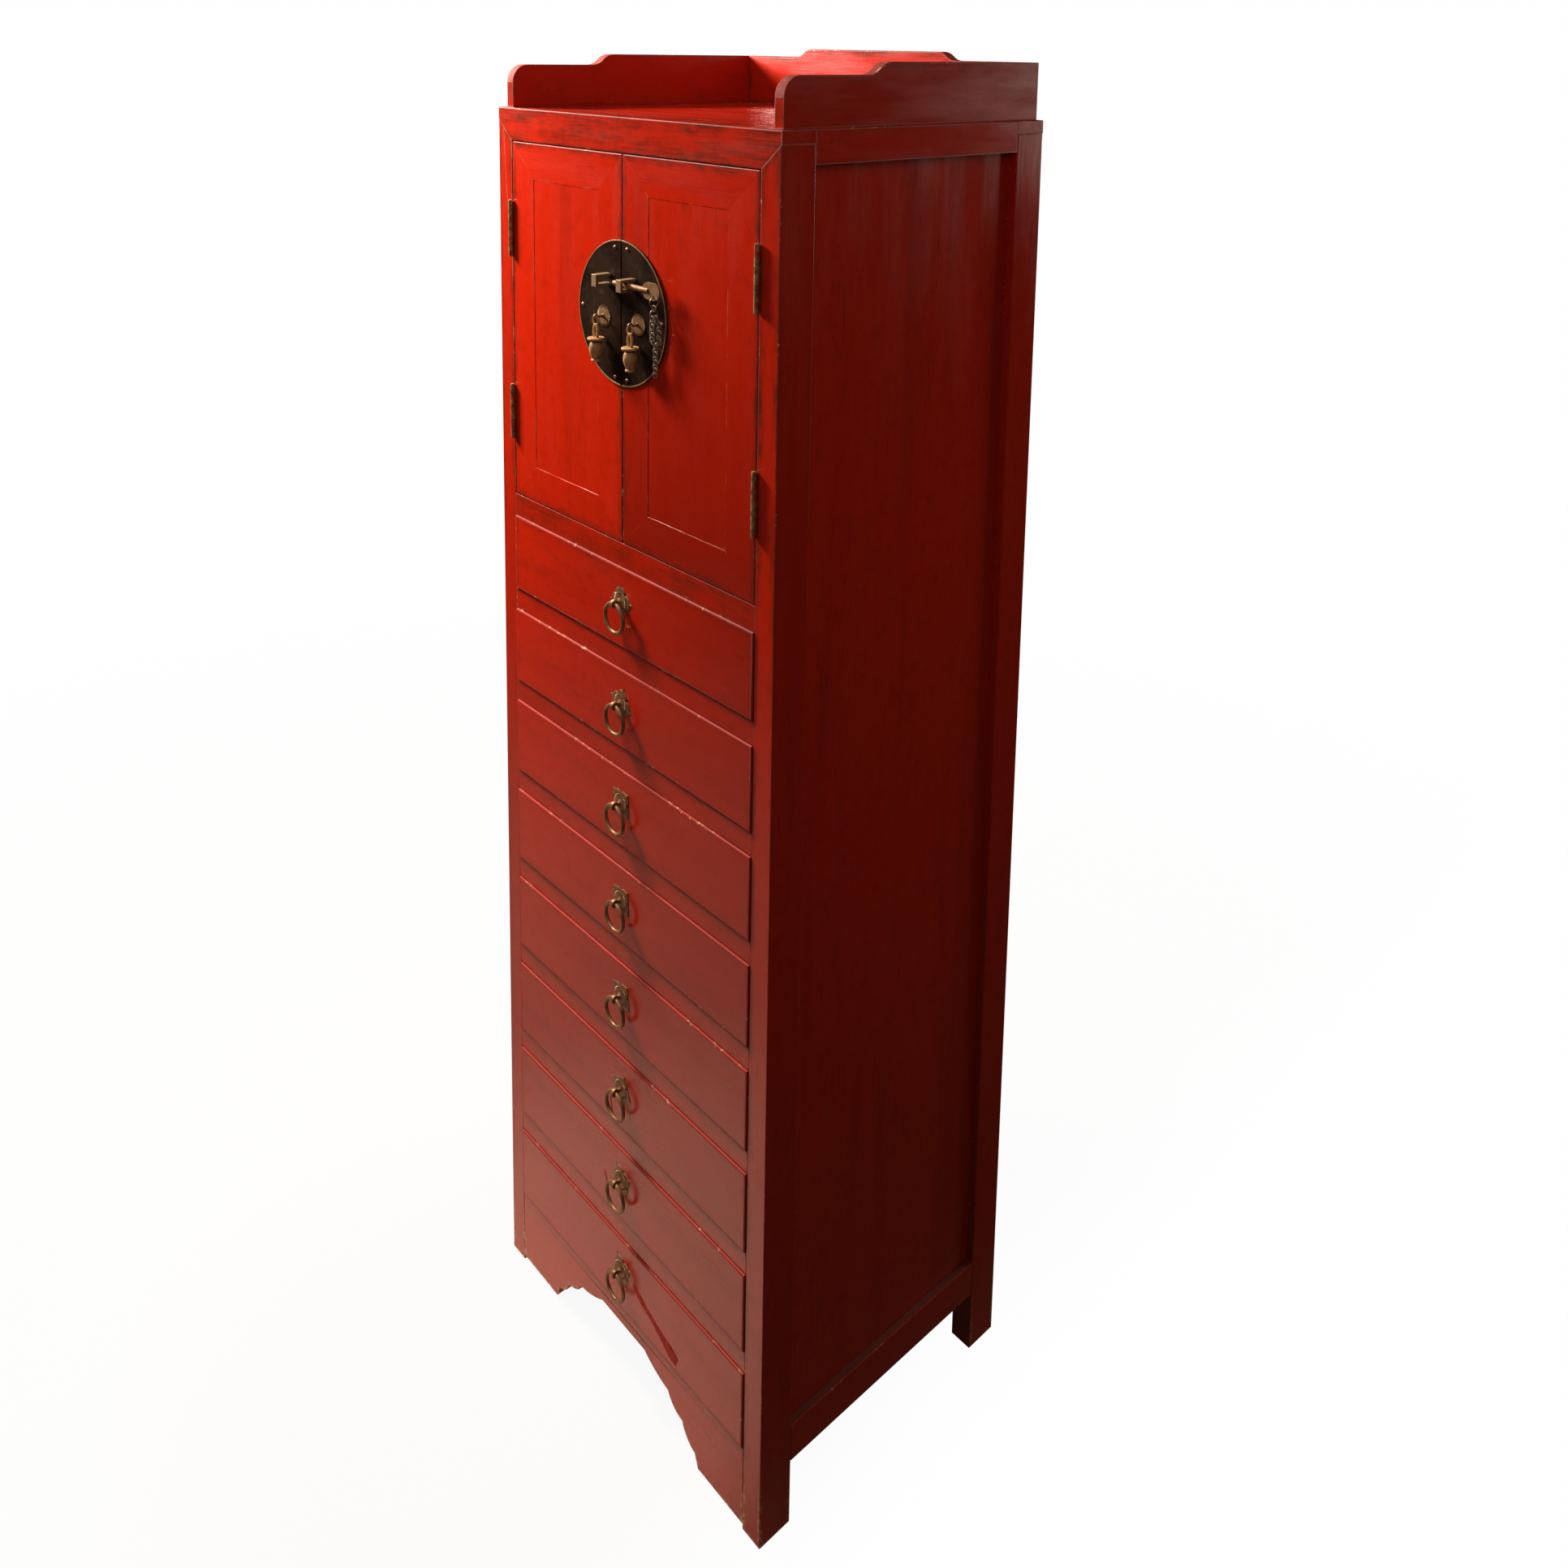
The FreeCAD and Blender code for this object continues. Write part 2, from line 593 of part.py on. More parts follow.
def lock_plate(name, side):
    quarter = FreeCAD.Rotation(FreeCAD.Vector(0, 0, 1), -90 * side)
    half_disc = rod(f"{name}_half_disc", to_front * quarter, "dim.plate_radius", "dim.plate_thickness",
                    f"{side} * dim.meeting_gap / 2", "0", lock_middle)
    half_disc.Angle = 180
    pieces = [half_disc]
    rise = "sqrt(dim.nail_ring ^ 2 - dim.nail_inset ^ 2)"
    spots = [("dim.nail_inset", rise), ("dim.nail_ring", "0"), ("dim.nail_inset", f"-{rise}")]
    for index, (across, up) in enumerate(spots):
        nail = doc.addObject("Part::Sphere", f"{name}_nail_{index}")
        nail.Angle1 = 0
        bind(nail, Radius="dim.nail_radius")
        pieces.append(place(nail, f"{side} * {across}", plate_face, f"{lock_middle} + {up}", to_front))
    staple_low = f"{staple_middle} - dim.staple_height / 2"
    staple_x = f"{side} * dim.staple_offset - dim.staple_width / 2"
    staple_tip = f"{plate_face} - dim.staple_reach"
    block = board(f"{name}_staple_block", staple_x, staple_tip, staple_low, "dim.staple_width",
                  "dim.staple_reach", "dim.staple_height")
    space = board(f"{name}_staple_space", f"{staple_x} - dim.staple_width",
                  f"{staple_tip} + dim.staple_strap", f"{staple_low} + dim.staple_strap",
                  "3 * dim.staple_width", "dim.staple_reach", "dim.staple_height - 2 * dim.staple_strap")
    pieces.append(cut(f"{name}_staple", block, space))
    x = f"{side} * dim.rosette_offset"
    z = f"{lock_middle} - dim.rosette_drop"
    axis_y = "(-dim.pendant_standoff)"
    pieces.append(rod(f"{name}_rosette", to_back, "dim.rosette_radius", "dim.rosette_thickness",
                      x, rosette_face, z))
    stem = rod(f"{name}_stem", to_back, "dim.pendant_stem_radius", f"{rosette_face} - {axis_y}",
               x, axis_y, z)
    eye = rod(f"{name}_eye", to_right, "dim.pendant_eye_radius", "dim.pendant_eye_width",
              f"{x} - dim.pendant_eye_width / 2", axis_y, z)
    bore = rod(f"{name}_bore", to_right, "dim.pendant_wire + dim.loop_play", "2 * dim.pendant_eye_width",
               f"{x} - dim.pendant_eye_width", axis_y, z)
    pieces.append(cut(f"{name}_eyelet", joined(f"{name}_eye_stem", eye, stem), bore))
    node(f"{name}_lock_plate", *pieces)
    pendant(name, x, axis_y, z)


def pendant(name, x, y, z):
    drops = ["2 * dim.pendant_loop"]
    for step in ("dim.neck_length", "dim.collar_edge", "dim.collar_height - dim.collar_edge",
                 "dim.waist_height", "dim.vase_height", "dim.foot_height"):
        drops.append(f"{drops[-1]} + {step}")
    head, neck, lip, collar, waist, vase, foot = [f"-({drop})" for drop in drops]
    outline = [("0", foot), ("dim.foot_radius", foot), ("dim.foot_radius", vase),
               ("dim.vase_foot_radius", vase), ("dim.vase_shoulder_radius", waist),
               ("dim.waist_radius", waist), ("dim.waist_radius", collar), ("dim.collar_radius", lip),
               ("dim.collar_radius", neck), ("dim.neck_radius", neck), ("dim.neck_radius", head),
               ("0", head)]
    vase_body = turned(f"{name}_vase", outline, {3: ("dim.vase_curve", 1)}, x, y, z)
    loop = hoop(f"{name}_loop", to_front, "dim.pendant_loop", "dim.pendant_wire", x, y,
                f"{z} - dim.pendant_loop")
    node(f"{name}_pendant", joined(f"{name}_pendant", vase_body, loop))


def lock_bar():
    axis_y = "(-dim.bar_standoff)"
    paddle_x = "(dim.bar_tip + dim.bar_length)"
    hole_x = f"({paddle_x} + dim.paddle_hole_side)"
    hole_z = f"({staple_middle} - dim.paddle_hole_drop)"
    paddle_y = f"{axis_y} - dim.paddle_thickness / 2"
    bar = rod("bar", to_right, "dim.bar_radius", "dim.bar_length - dim.paddle_radius / 2", "dim.bar_tip",
              axis_y, staple_middle)
    ends = [rod(f"paddle_end_{index}", to_back, "dim.paddle_radius", "dim.paddle_thickness",
                f"{paddle_x} + {side} * dim.paddle_stretch / 2", paddle_y, staple_middle)
            for index, side in enumerate((-1, 1))]
    paddle = board("paddle", f"{paddle_x} - dim.paddle_stretch / 2", paddle_y,
                   f"{staple_middle} - dim.paddle_radius", "dim.paddle_stretch", "dim.paddle_thickness",
                   "2 * dim.paddle_radius")
    hole = rod("paddle_hole", to_back, "dim.paddle_hole_radius", "3 * dim.paddle_thickness", hole_x,
               f"{axis_y} - 1.5 * dim.paddle_thickness", hole_z)
    node("lock_bar", cut("lock_bar", joined("bar_and_paddle", bar, paddle, *ends), hole))

    # the chain: a ring, a link, the gathering ring, then a closed loop with a strand in front of its
    # middle and a loose end below
    slack = "dim.link_wire + dim.ring_wire + dim.link_play"
    pitch = "(2 * dim.link_radius - 2 * dim.link_wire - dim.link_play)"
    first = f"({hole_z} - 2 * dim.ring_radius - dim.link_radius + {slack})"
    gather = f"({first} - dim.link_radius - dim.gather_radius + {slack})"
    nest = f"sqrt((dim.gather_radius - ({slack})) ^ 2 - (dim.strand_gap / 2) ^ 2)"
    start = f"({gather} - {nest} - dim.link_radius)"
    back_y = f"{axis_y} + dim.strand_gap / 2"
    front_y = f"{axis_y} - dim.strand_gap / 2"
    links = [hoop("chain_ring", to_right, "dim.ring_radius", "dim.ring_wire", hole_x, axis_y,
                  f"{hole_z} - dim.ring_radius"),
             hoop("gathering_ring", to_right, "dim.gather_radius", "dim.ring_wire", hole_x, axis_y,
                  gather)]

    def link(turn, x, y, z):
        name = f"chain_link_{len(links) - 1}"
        links.append(hoop(name, turn, "dim.link_radius", "dim.link_wire", x, y, z))

    def strand(count, x, y, z):
        for index in range(count):
            link(to_right if index % 2 else to_front, x, y, f"{z} - {index} * {pitch}")

    def slanted(lean):
        return FreeCAD.Rotation(FreeCAD.Vector(0, 1, 0), 90 - lean)

    step = math.sqrt(0.5)
    bottom = f"({start} - {4 * step + loop_links - 1} * {pitch})"
    strand(1, hole_x, axis_y, first)
    strand(1, hole_x, back_y, start)
    for side in (-1, 1):
        hook_x = f"{hole_x} + {side * step} * {pitch}"
        side_x = f"{hole_x} + {2 * side * step} * {pitch}"
        link(slanted(45 * side), hook_x, back_y, f"{start} - {step} * {pitch}")
        strand(loop_links, side_x, back_y, f"{start} - {2 * step} * {pitch}")
        link(slanted(-45 * side), hook_x, back_y, f"{bottom} + {step} * {pitch}")
    strand(1 + tail_links, hole_x, back_y, bottom)
    strand(inner_links, hole_x, front_y, start)
    node("lock_chain", *links)


carcase()
gallery()
apron()
rails()
for side_name, side_sign in (("left", -1), ("right", 1)):
    door(side_name, side_sign)
    lock_plate(side_name, side_sign)
hinges()
lock_bar()
for drawer_number in range(1, drawer_count + 1):
    drawer(drawer_number)
doc.recompute()

for item in doc.Objects:
    if "Invalid" in item.State or "Error" in item.State:
        raise RuntimeError(f"{item.Label} failed: {item.State}")
for piece in nodes:
    if piece.Shape.isNull() or not piece.Shape.isValid():
        raise RuntimeError(f"{piece.Label} has no valid shape")
os.makedirs("parts", exist_ok=True)
for piece in nodes:
    piece.Shape.exportStep(f"parts/{piece.Label}.step")
print(f"{len(nodes)} pieces written")
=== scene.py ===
import json
import math
import random

import bmesh
import bpy
from mathutils import Matrix, Vector


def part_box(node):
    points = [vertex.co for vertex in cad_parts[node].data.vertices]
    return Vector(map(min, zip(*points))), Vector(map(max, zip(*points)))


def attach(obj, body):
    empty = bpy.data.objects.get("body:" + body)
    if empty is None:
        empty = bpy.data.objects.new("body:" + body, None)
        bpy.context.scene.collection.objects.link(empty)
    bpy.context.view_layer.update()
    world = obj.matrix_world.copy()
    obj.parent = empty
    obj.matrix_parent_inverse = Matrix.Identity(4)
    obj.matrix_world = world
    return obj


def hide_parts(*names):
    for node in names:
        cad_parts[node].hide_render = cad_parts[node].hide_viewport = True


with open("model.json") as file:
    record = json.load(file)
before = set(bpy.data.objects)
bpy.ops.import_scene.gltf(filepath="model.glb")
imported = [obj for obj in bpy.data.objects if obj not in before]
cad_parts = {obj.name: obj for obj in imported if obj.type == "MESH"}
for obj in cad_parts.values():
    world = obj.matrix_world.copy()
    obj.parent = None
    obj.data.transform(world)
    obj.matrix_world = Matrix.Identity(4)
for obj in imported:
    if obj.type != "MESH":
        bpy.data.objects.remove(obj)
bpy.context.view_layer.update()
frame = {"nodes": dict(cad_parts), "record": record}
nodes = frame["nodes"]
bodyOf = {node: body for body, group in frame["record"]["behaviour"]["bodies"].items() for node in group}
mm = 0.001
hair = 0.0001  # two faces closer than this lie in one plane
print("frame loaded:", len(nodes), "nodes")

# camera, where the photograph was taken from
viewpoint = {"place": (1.1755, -1.0229, 1.5981), "turn": 47.65, "tilt": -8.13, "roll": 0.94,
             "focalPixels": 1678.9, "imagePixels": 1932, "axisRow": 297.1, "sensor": 36}


def makeCamera(v):
    turn, tilt, roll = (math.radians(v[k]) for k in ("turn", "tilt", "roll"))
    ahead = Vector((-math.sin(turn) * math.cos(tilt), math.cos(turn) * math.cos(tilt), math.sin(tilt)))
    level = Vector((math.cos(turn), math.sin(turn), 0))
    plumb = level.cross(ahead)
    right = level * math.cos(roll) + plumb * math.sin(roll)
    above = right.cross(ahead)
    data = bpy.data.cameras.new("viewCamera")
    data.sensor_width = v["sensor"]
    data.lens = v["sensor"] * v["focalPixels"] / v["imagePixels"]
    data.shift_y = v["axisRow"] / v["imagePixels"] - 0.5
    camera = bpy.data.objects.new("viewCamera", data)
    turned = Matrix((right, above, -ahead)).transposed().to_4x4()
    camera.matrix_world = Matrix.Translation(v["place"]) @ turned
    bpy.context.scene.collection.objects.link(camera)
    bpy.context.scene.camera = camera


# lamps: a key close by on the left, wide ones in front and on the right, one behind and one overhead
lamps = {"key": {"place": (-1.0, -0.5, 1.92), "aim": (-0.6, 0.3, 1.1), "size": 0.36, "power": 53},
         "front": {"place": (-0.2, -3.0, 2.0), "aim": (0, -0.2, 0.8), "size": 1.6, "power": 6.8},
         "fill": {"place": (1.6, -1.2, 2.6), "aim": (0.2, 0, 1.2), "size": 1.4, "power": 7.5},
         "rear": {"place": (0.72, 1.65, 1.6), "aim": (0.25, 0.1, 1.2), "size": 0.6, "power": 8},
         "roof": {"place": (-0.3, -0.8, 3.3), "aim": (-0.3, -0.7, 0), "size": 1.4, "power": 10}}
lampTint = (1.0, 0.93, 0.82)


def makeLamp(name, lamp):
    data = bpy.data.lights.new(name, "AREA")
    data.size = lamp["size"]
    data.energy = lamp["power"]
    data.color = lampTint
    light = bpy.data.objects.new(name, data)
    light.location = lamp["place"]
    aim = Vector(lamp["aim"]) - light.location
    light.rotation_euler = aim.to_track_quat("-Z", "Y").to_euler()
    light.visible_camera = False
    bpy.context.scene.collection.objects.link(light)


class Finish:
    # a material and the few node patterns that its recipe is made of
    def __init__(self, name):
        self.material = bpy.data.materials.new(name)
        self.material.use_nodes = True
        self.tree = self.material.node_tree
        self.surface = self.tree.nodes["Principled BSDF"]

    def put(self, socket, value):
        if isinstance(value, bpy.types.NodeSocket):
            self.tree.links.new(value, socket)
        else:
            socket.default_value = value

    def add(self, kind, inputs, out=0, **settings):
        node = self.tree.nodes.new(kind)
        for key, value in settings.items():
            setattr(node, key, value)
        for key, value in inputs.items():
            self.put(node.inputs[key], value)
        return node.outputs[out]

    def attribute(self, name, out="Fac"):
        return self.add("ShaderNodeAttribute", {}, out, attribute_name=name)

    def place(self, out="Object"):
        return self.add("ShaderNodeTexCoord", {}, out)

    def part(self, vector, axis):
        return self.add("ShaderNodeSeparateXYZ", {"Vector": vector}, axis)

    def cloud(self, coords, perMetre, detail=3.0, rough=0.55, warp=0.0):
        # perMetre is one number, or one for each axis
        if isinstance(perMetre, tuple):
            coords = self.add("ShaderNodeMapping", {"Vector": coords, "Scale": perMetre})
            perMetre = 1.0
        return self.add("ShaderNodeTexNoise", {"Vector": coords, "Scale": perMetre, "Detail": detail,
                                               "Roughness": rough, "Distortion": warp}, "Fac")

    def band(self, value, low, high, start=0.0, end=1.0):
        return self.add("ShaderNodeMapRange", {"Value": value, "From Min": low, "From Max": high,
                                               "To Min": start, "To Max": end},
                        interpolation_type="SMOOTHSTEP")

    def sums(self, operation, first, others):
        for other in others:
            first = self.add("ShaderNodeMath", {0: first, 1: other}, operation=operation)
        return first

    def plus(self, first, *others):
        return self.sums("ADD", first, others)

    def minus(self, first, *others):
        return self.sums("SUBTRACT", first, others)

    def times(self, first, *others):
        return self.sums("MULTIPLY", first, others)

    def largest(self, first, *others):
        return self.sums("MAXIMUM", first, others)

    def blend(self, amount, first, second):
        return self.add("ShaderNodeMixRGB", {"Fac": amount, "Color1": first, "Color2": second})

    def bump(self, height, strength, distance, under=None):
        inputs = {"Height": height, "Strength": strength, "Distance": distance}
        if under is not None:
            inputs["Normal"] = under
        return self.add("ShaderNodeBump", inputs, "Normal")

    def wear(self, **sockets):
        for name, value in sockets.items():
            self.put(self.surface.inputs[name.replace("_", " ")], value)
        return self.material


def colour(red, green, blue):
    return (red, green, blue, 1.0)


# sky and floor: white to the viewer; the floor is a sheet of paper that thins out with distance
backdrop = {"skyTint": colour(1, 0.72, 0.45), "skyGlow": 0.02, "skyWhiteness": 1.0,
            "white": colour(1, 1, 1), "floorWhiteness": 0.93, "floorSize": 30,
            "paper": colour(0.72, 0.60, 0.50), "fibre": colour(0.6912, 0.576, 0.48),
            "fibrePerMetre": 3.0, "rough": 0.8, "middle": (-0.1, -0.3, 0), "near": (0.2, 0.55, 0.95, 0.45),
            "far": (0.6, 3.0, 1.0, 0.0), "side": (0.1, 0.4, 1.0, 0.0)}


def whiteForViewer(tree, shading, white, amount):
    # what the viewer sees directly is nearly white; reflections and bounced light get the shading
    path = tree.nodes.new("ShaderNodeLightPath")
    share = tree.nodes.new("ShaderNodeMath")
    share.operation = "MULTIPLY"
    share.inputs[1].default_value = amount
    mix = tree.nodes.new("ShaderNodeMixShader")
    tree.links.new(path.outputs["Is Camera Ray"], share.inputs[0])
    tree.links.new(share.outputs[0], mix.inputs[0])
    tree.links.new(shading, mix.inputs[1])
    tree.links.new(white.outputs[0], mix.inputs[2])
    return mix.outputs[0]


def makeSky(b):
    world = bpy.data.worlds.new("studio")
    bpy.context.scene.world = world
    world.use_nodes = True
    tree = world.node_tree
    glow = tree.nodes["Background"]
    glow.inputs["Color"].default_value = b["skyTint"]
    glow.inputs["Strength"].default_value = b["skyGlow"]
    white = tree.nodes.new("ShaderNodeBackground")
    white.inputs["Color"].default_value = b["white"]
    shown = whiteForViewer(tree, glow.outputs[0], white, b["skyWhiteness"])
    tree.links.new(shown, tree.nodes["World Output"].inputs["Surface"])


def makeFloor(b):
    f = Finish("floorPaper")
    where = f.place()
    shade = f.blend(f.cloud(where, b["fibrePerMetre"]), b["paper"], b["fibre"])
    away = f.add("ShaderNodeVectorMath", {0: where, 1: b["middle"]}, "Value", operation="DISTANCE")
    sheet = f.times(f.band(away, *b["near"]), f.band(away, *b["far"]), f.band(f.part(where, "X"), *b["side"]))
    f.wear(Base_Color=shade, Roughness=b["rough"], Alpha=sheet)
    white = f.tree.nodes.new("ShaderNodeEmission")
    shown = whiteForViewer(f.tree, f.surface.outputs[0], white, b["floorWhiteness"])
    f.tree.links.new(shown, f.tree.nodes["Material Output"].inputs["Surface"])
    bm = bmesh.new()
    bmesh.ops.create_grid(bm, x_segments=2, y_segments=2, size=b["floorSize"] / 2)
    mesh = bpy.data.meshes.new("studioFloor")
    bm.to_mesh(mesh)
    bm.free()
    mesh.materials.append(f.material)
    floor = bpy.data.objects.new("studioFloor", mesh)
    bpy.context.scene.collection.objects.link(floor)


makeCamera(viewpoint)
for name, lamp in lamps.items():
    makeLamp(name, lamp)
makeSky(backdrop)
makeFloor(backdrop)
bpy.context.scene.view_settings.view_transform = "Standard"
print("camera and studio set")

# finishes: each look holds its colours, its noises by name, and the spans that pick a part of a value;
# a span reads from, to, and what it gives at either end

# red lacquer over wood: grain along each board, burnished edges, chips and hairline cracks at the joints
lacquerLook = {
    "high": colour(0.62, 0.017, 0.002), "low": colour(0.54, 0.022, 0.004), "deep": colour(0.30, 0.009, 0.002),
    "streak": colour(0.12, 0.010, 0.003), "grime": colour(0.085, 0.014, 0.005),
    "chip": colour(0.66, 0.40, 0.22), "seam": colour(0.55, 0.20, 0.11), "toneShare": 0.8,
    "wanderMiddle": 0.42, "wanderReach": 28.8 * mm, "fibreShare": 0.6, "mottleShare": 0.5, "recessShadingShare": 0.85,
    "seamShare": 1.8, "recessShadingDull": 0.3, "bareDull": 0.2, "bareDepth": 0.8, "waveBump": (0.22, 1.2 * mm),
    "fibreBump": (0.3, 0.3 * mm), "refraction": 1.6,
    "noise": {"bands": {"perMetre": (1.6, 24.0, 24.0), "rough": 0.5, "warp": 0.3},
              "mottle": {"perMetre": 60.0, "detail": 5.0, "rough": 0.65},
              "fibre": {"perMetre": (24.0, 480.0, 480.0), "rough": 0.6},
              "pore": {"perMetre": (75.0, 1200.0, 1200.0), "detail": 2.0, "rough": 0.5},
              "patch": {"perMetre": (5.0, 20.0, 20.0)},
              "wander": {"perMetre": (14.0, 48.0, 48.0), "detail": 4.0, "rough": 0.65},
              "speck": {"perMetre": 150.0, "detail": 4.0, "rough": 0.7},
              "sparse": {"perMetre": 14.0, "detail": 2.0},
              "fleck": {"perMetre": (110.0, 330.0, 330.0), "detail": 2.0},
              "dashes": {"perMetre": 22.0, "detail": 5.0, "rough": 0.7},
              "dull": {"perMetre": (6.0, 30.0, 30.0), "detail": 4.0, "rough": 0.6},
              "waves": {"perMetre": (10.0, 40.0, 40.0), "detail": 2.0}},
    "span": {"paintedShadeFade": (0.1, 1.1), "bands": (0.48, 0.82, 0.0, 0.5), "mottle": (0.46, 0.75, 0.0, 0.35),
             "fibre": (0.56, 0.76), "pore": (0.62, 0.74, 0.0, 0.8), "patch": (0.40, 0.70, 0.18, 0.72),
             "broken": (0.42, 0.64, 0.35, 1.0), "burnish": (0.0, 12 * mm, 0.85, 0.0),
             "flank": (0.3, 0.8, 1.0, 0.25), "hands": (0.85, 1.2, 0.2, 1.0),
             "rubbed": (0.0, 1.3 * mm, 0.5, 0.0), "rubbedDull": (0.0, 1.3 * mm, 0.58, 0.0),
             "speck": (0.58, 0.64), "rim": (0.0, 1.8 * mm, 1.0, 0.0), "sparse": (0.50, 0.62),
             "foot": (0.01, 0.09, 1.0, 0.0), "footRim": (0.0, 6 * mm, 0.9, 0.0), "footSpeck": (0.44, 0.58),
             "fleck": (0.81, 0.84, 0.0, 0.6), "dashes": (0.50, 0.62), "gloss": (0.3, 0.7, 0.17, 0.28)}}


def makeLacquer(look):
    f = Finish("redLacquer")
    noise, span = look["noise"], look["span"]
    grain, edge = f.attribute("woodCoord", "Vector"), f.attribute("edgeDist")
    joint, tone, dirt = f.attribute("joint"), f.attribute("tone"), f.attribute("dirt")
    where = f.place()
    height = f.part(where, "Z")
    # painted shade: the lacquer goes darker from the top down to the bottom
    red = f.blend(f.band(height, *span["paintedShadeFade"]), look["low"], look["high"])
    red = f.blend(f.times(tone, look["toneShare"]), red, look["deep"])

    # broad soft bands along the board, then a fine mottle
    red = f.blend(f.band(f.cloud(grain, **noise["bands"]), *span["bands"]), red, look["deep"])
    mottle = f.cloud(where, **noise["mottle"])
    red = f.blend(f.band(mottle, *span["mottle"]), red, look["deep"])

    # short dark fibres and pores, in patches
    fibre, pore = f.cloud(grain, **noise["fibre"]), f.cloud(grain, **noise["pore"])
    patch = f.band(f.cloud(grain, **noise["patch"]), *span["patch"])
    dark = f.largest(f.band(fibre, *span["fibre"]), f.band(pore, *span["pore"]))
    red = f.blend(f.times(dark, patch), red, look["streak"])

    # burnish that creeps in from the edges where hands reach, broken up by the fibres; then painted shade in
    # the side recesses, carried by the dirt attribute
    wander = f.minus(f.cloud(grain, **noise["wander"]), look["wanderMiddle"])
    reach = f.plus(edge, f.times(wander, look["wanderReach"]))
    broken = f.plus(f.times(fibre, look["fibreShare"]), f.times(mottle, look["mottleShare"]))
    across = f.part(f.place("Normal"), "X")
    flank = f.band(f.times(across, across), *span["flank"])
    burnish = f.times(f.band(reach, *span["burnish"]), f.band(broken, *span["broken"]))
    grime = f.times(burnish, f.times(f.band(height, *span["hands"]), flank))
    # the dirt attribute holds painted shade in the side recesses, darkened towards the grime colour
    grime = f.largest(grime, f.times(dirt, look["recessShadingShare"]))
    red = f.blend(grime, red, look["grime"])
    red = f.blend(f.band(edge, *span["rubbed"]), red, look["deep"])

    # pale dashes along the seams, then chips on the edges and feet, and flecks
    speck = f.cloud(where, **noise["speck"])
    sparse = f.band(f.cloud(where, **noise["sparse"]), *span["sparse"])
    chips = f.times(f.band(speck, *span["speck"]), f.band(edge, *span["rim"]), sparse)
    foot = f.times(f.band(height, *span["foot"]), f.band(edge, *span["footRim"]))
    foot = f.times(foot, f.band(speck, *span["footSpeck"]))
    fleck = f.band(f.cloud(grain, **noise["fleck"]), *span["fleck"])
    dashes = f.band(f.cloud(where, **noise["dashes"]), *span["dashes"])
    red = f.blend(f.times(joint, joint, f.times(dashes, look["seamShare"])), red, look["seam"])
    bare = f.largest(chips, foot, fleck)
    red = f.blend(bare, red, look["chip"])

    # gloss, duller at rubbed edges, in the side recesses and on bare wood
    dulled = f.largest(f.band(edge, *span["rubbedDull"]), f.times(dirt, look["recessShadingDull"]),
                       f.times(bare, look["bareDull"]))
    gloss = f.plus(f.band(f.cloud(grain, **noise["dull"]), *span["gloss"]), dulled)
    waves = f.bump(f.cloud(grain, **noise["waves"]), *look["waveBump"])
    lines = f.bump(f.minus(fibre, f.times(bare, look["bareDepth"])), *look["fibreBump"], waves)
    return f.wear(Base_Color=red, Roughness=gloss, Normal=lines, IOR=look["refraction"])


# plain softwood of the inside and the back
bareLook = {"pale": colour(0.40, 0.22, 0.10), "late": colour(0.24, 0.11, 0.045),
            "dirt": colour(0.07, 0.035, 0.018), "toneShare": 0.35, "fibreBump": (0.5, 0.3 * mm),
            "noise": {"rings": {"perMetre": (2.2, 45.0, 45.0), "rough": 0.5, "warp": 0.8},
                      "fibre": {"perMetre": (14.0, 600.0, 600.0), "rough": 0.6},
                      "soil": {"perMetre": 11.0, "detail": 4.0, "rough": 0.6}},
            "span": {"rings": (0.42, 0.62), "fibre": (0.52, 0.75, 0.0, 0.6), "rim": (0.0, 12 * mm, 1.0, 0.25),
                     "soil": (0.40, 0.70, 0.0, 0.7), "dull": (0.2, 0.8, 0.55, 0.8)}}


def makeBareWood(look):
    f = Finish("bareWood")
    noise, span = look["noise"], look["span"]
    grain, edge, tone = f.attribute("woodCoord", "Vector"), f.attribute("edgeDist"), f.attribute("tone")
    rings = f.cloud(grain, **noise["rings"])
    wood = f.blend(f.band(rings, *span["rings"]), look["pale"], look["late"])
    wood = f.blend(f.times(tone, look["toneShare"]), wood, look["late"])
    fibre = f.cloud(grain, **noise["fibre"])
    wood = f.blend(f.band(fibre, *span["fibre"]), wood, look["dirt"])
    soil = f.cloud(f.place(), **noise["soil"])
    dirt = f.times(f.band(edge, *span["rim"]), f.band(soil, *span["soil"]))
    wood = f.blend(dirt, wood, look["dirt"])
    bump = f.bump(fibre, *look["fibreBump"])
    return f.wear(Base_Color=wood, Roughness=f.band(soil, *span["dull"]), Normal=bump)


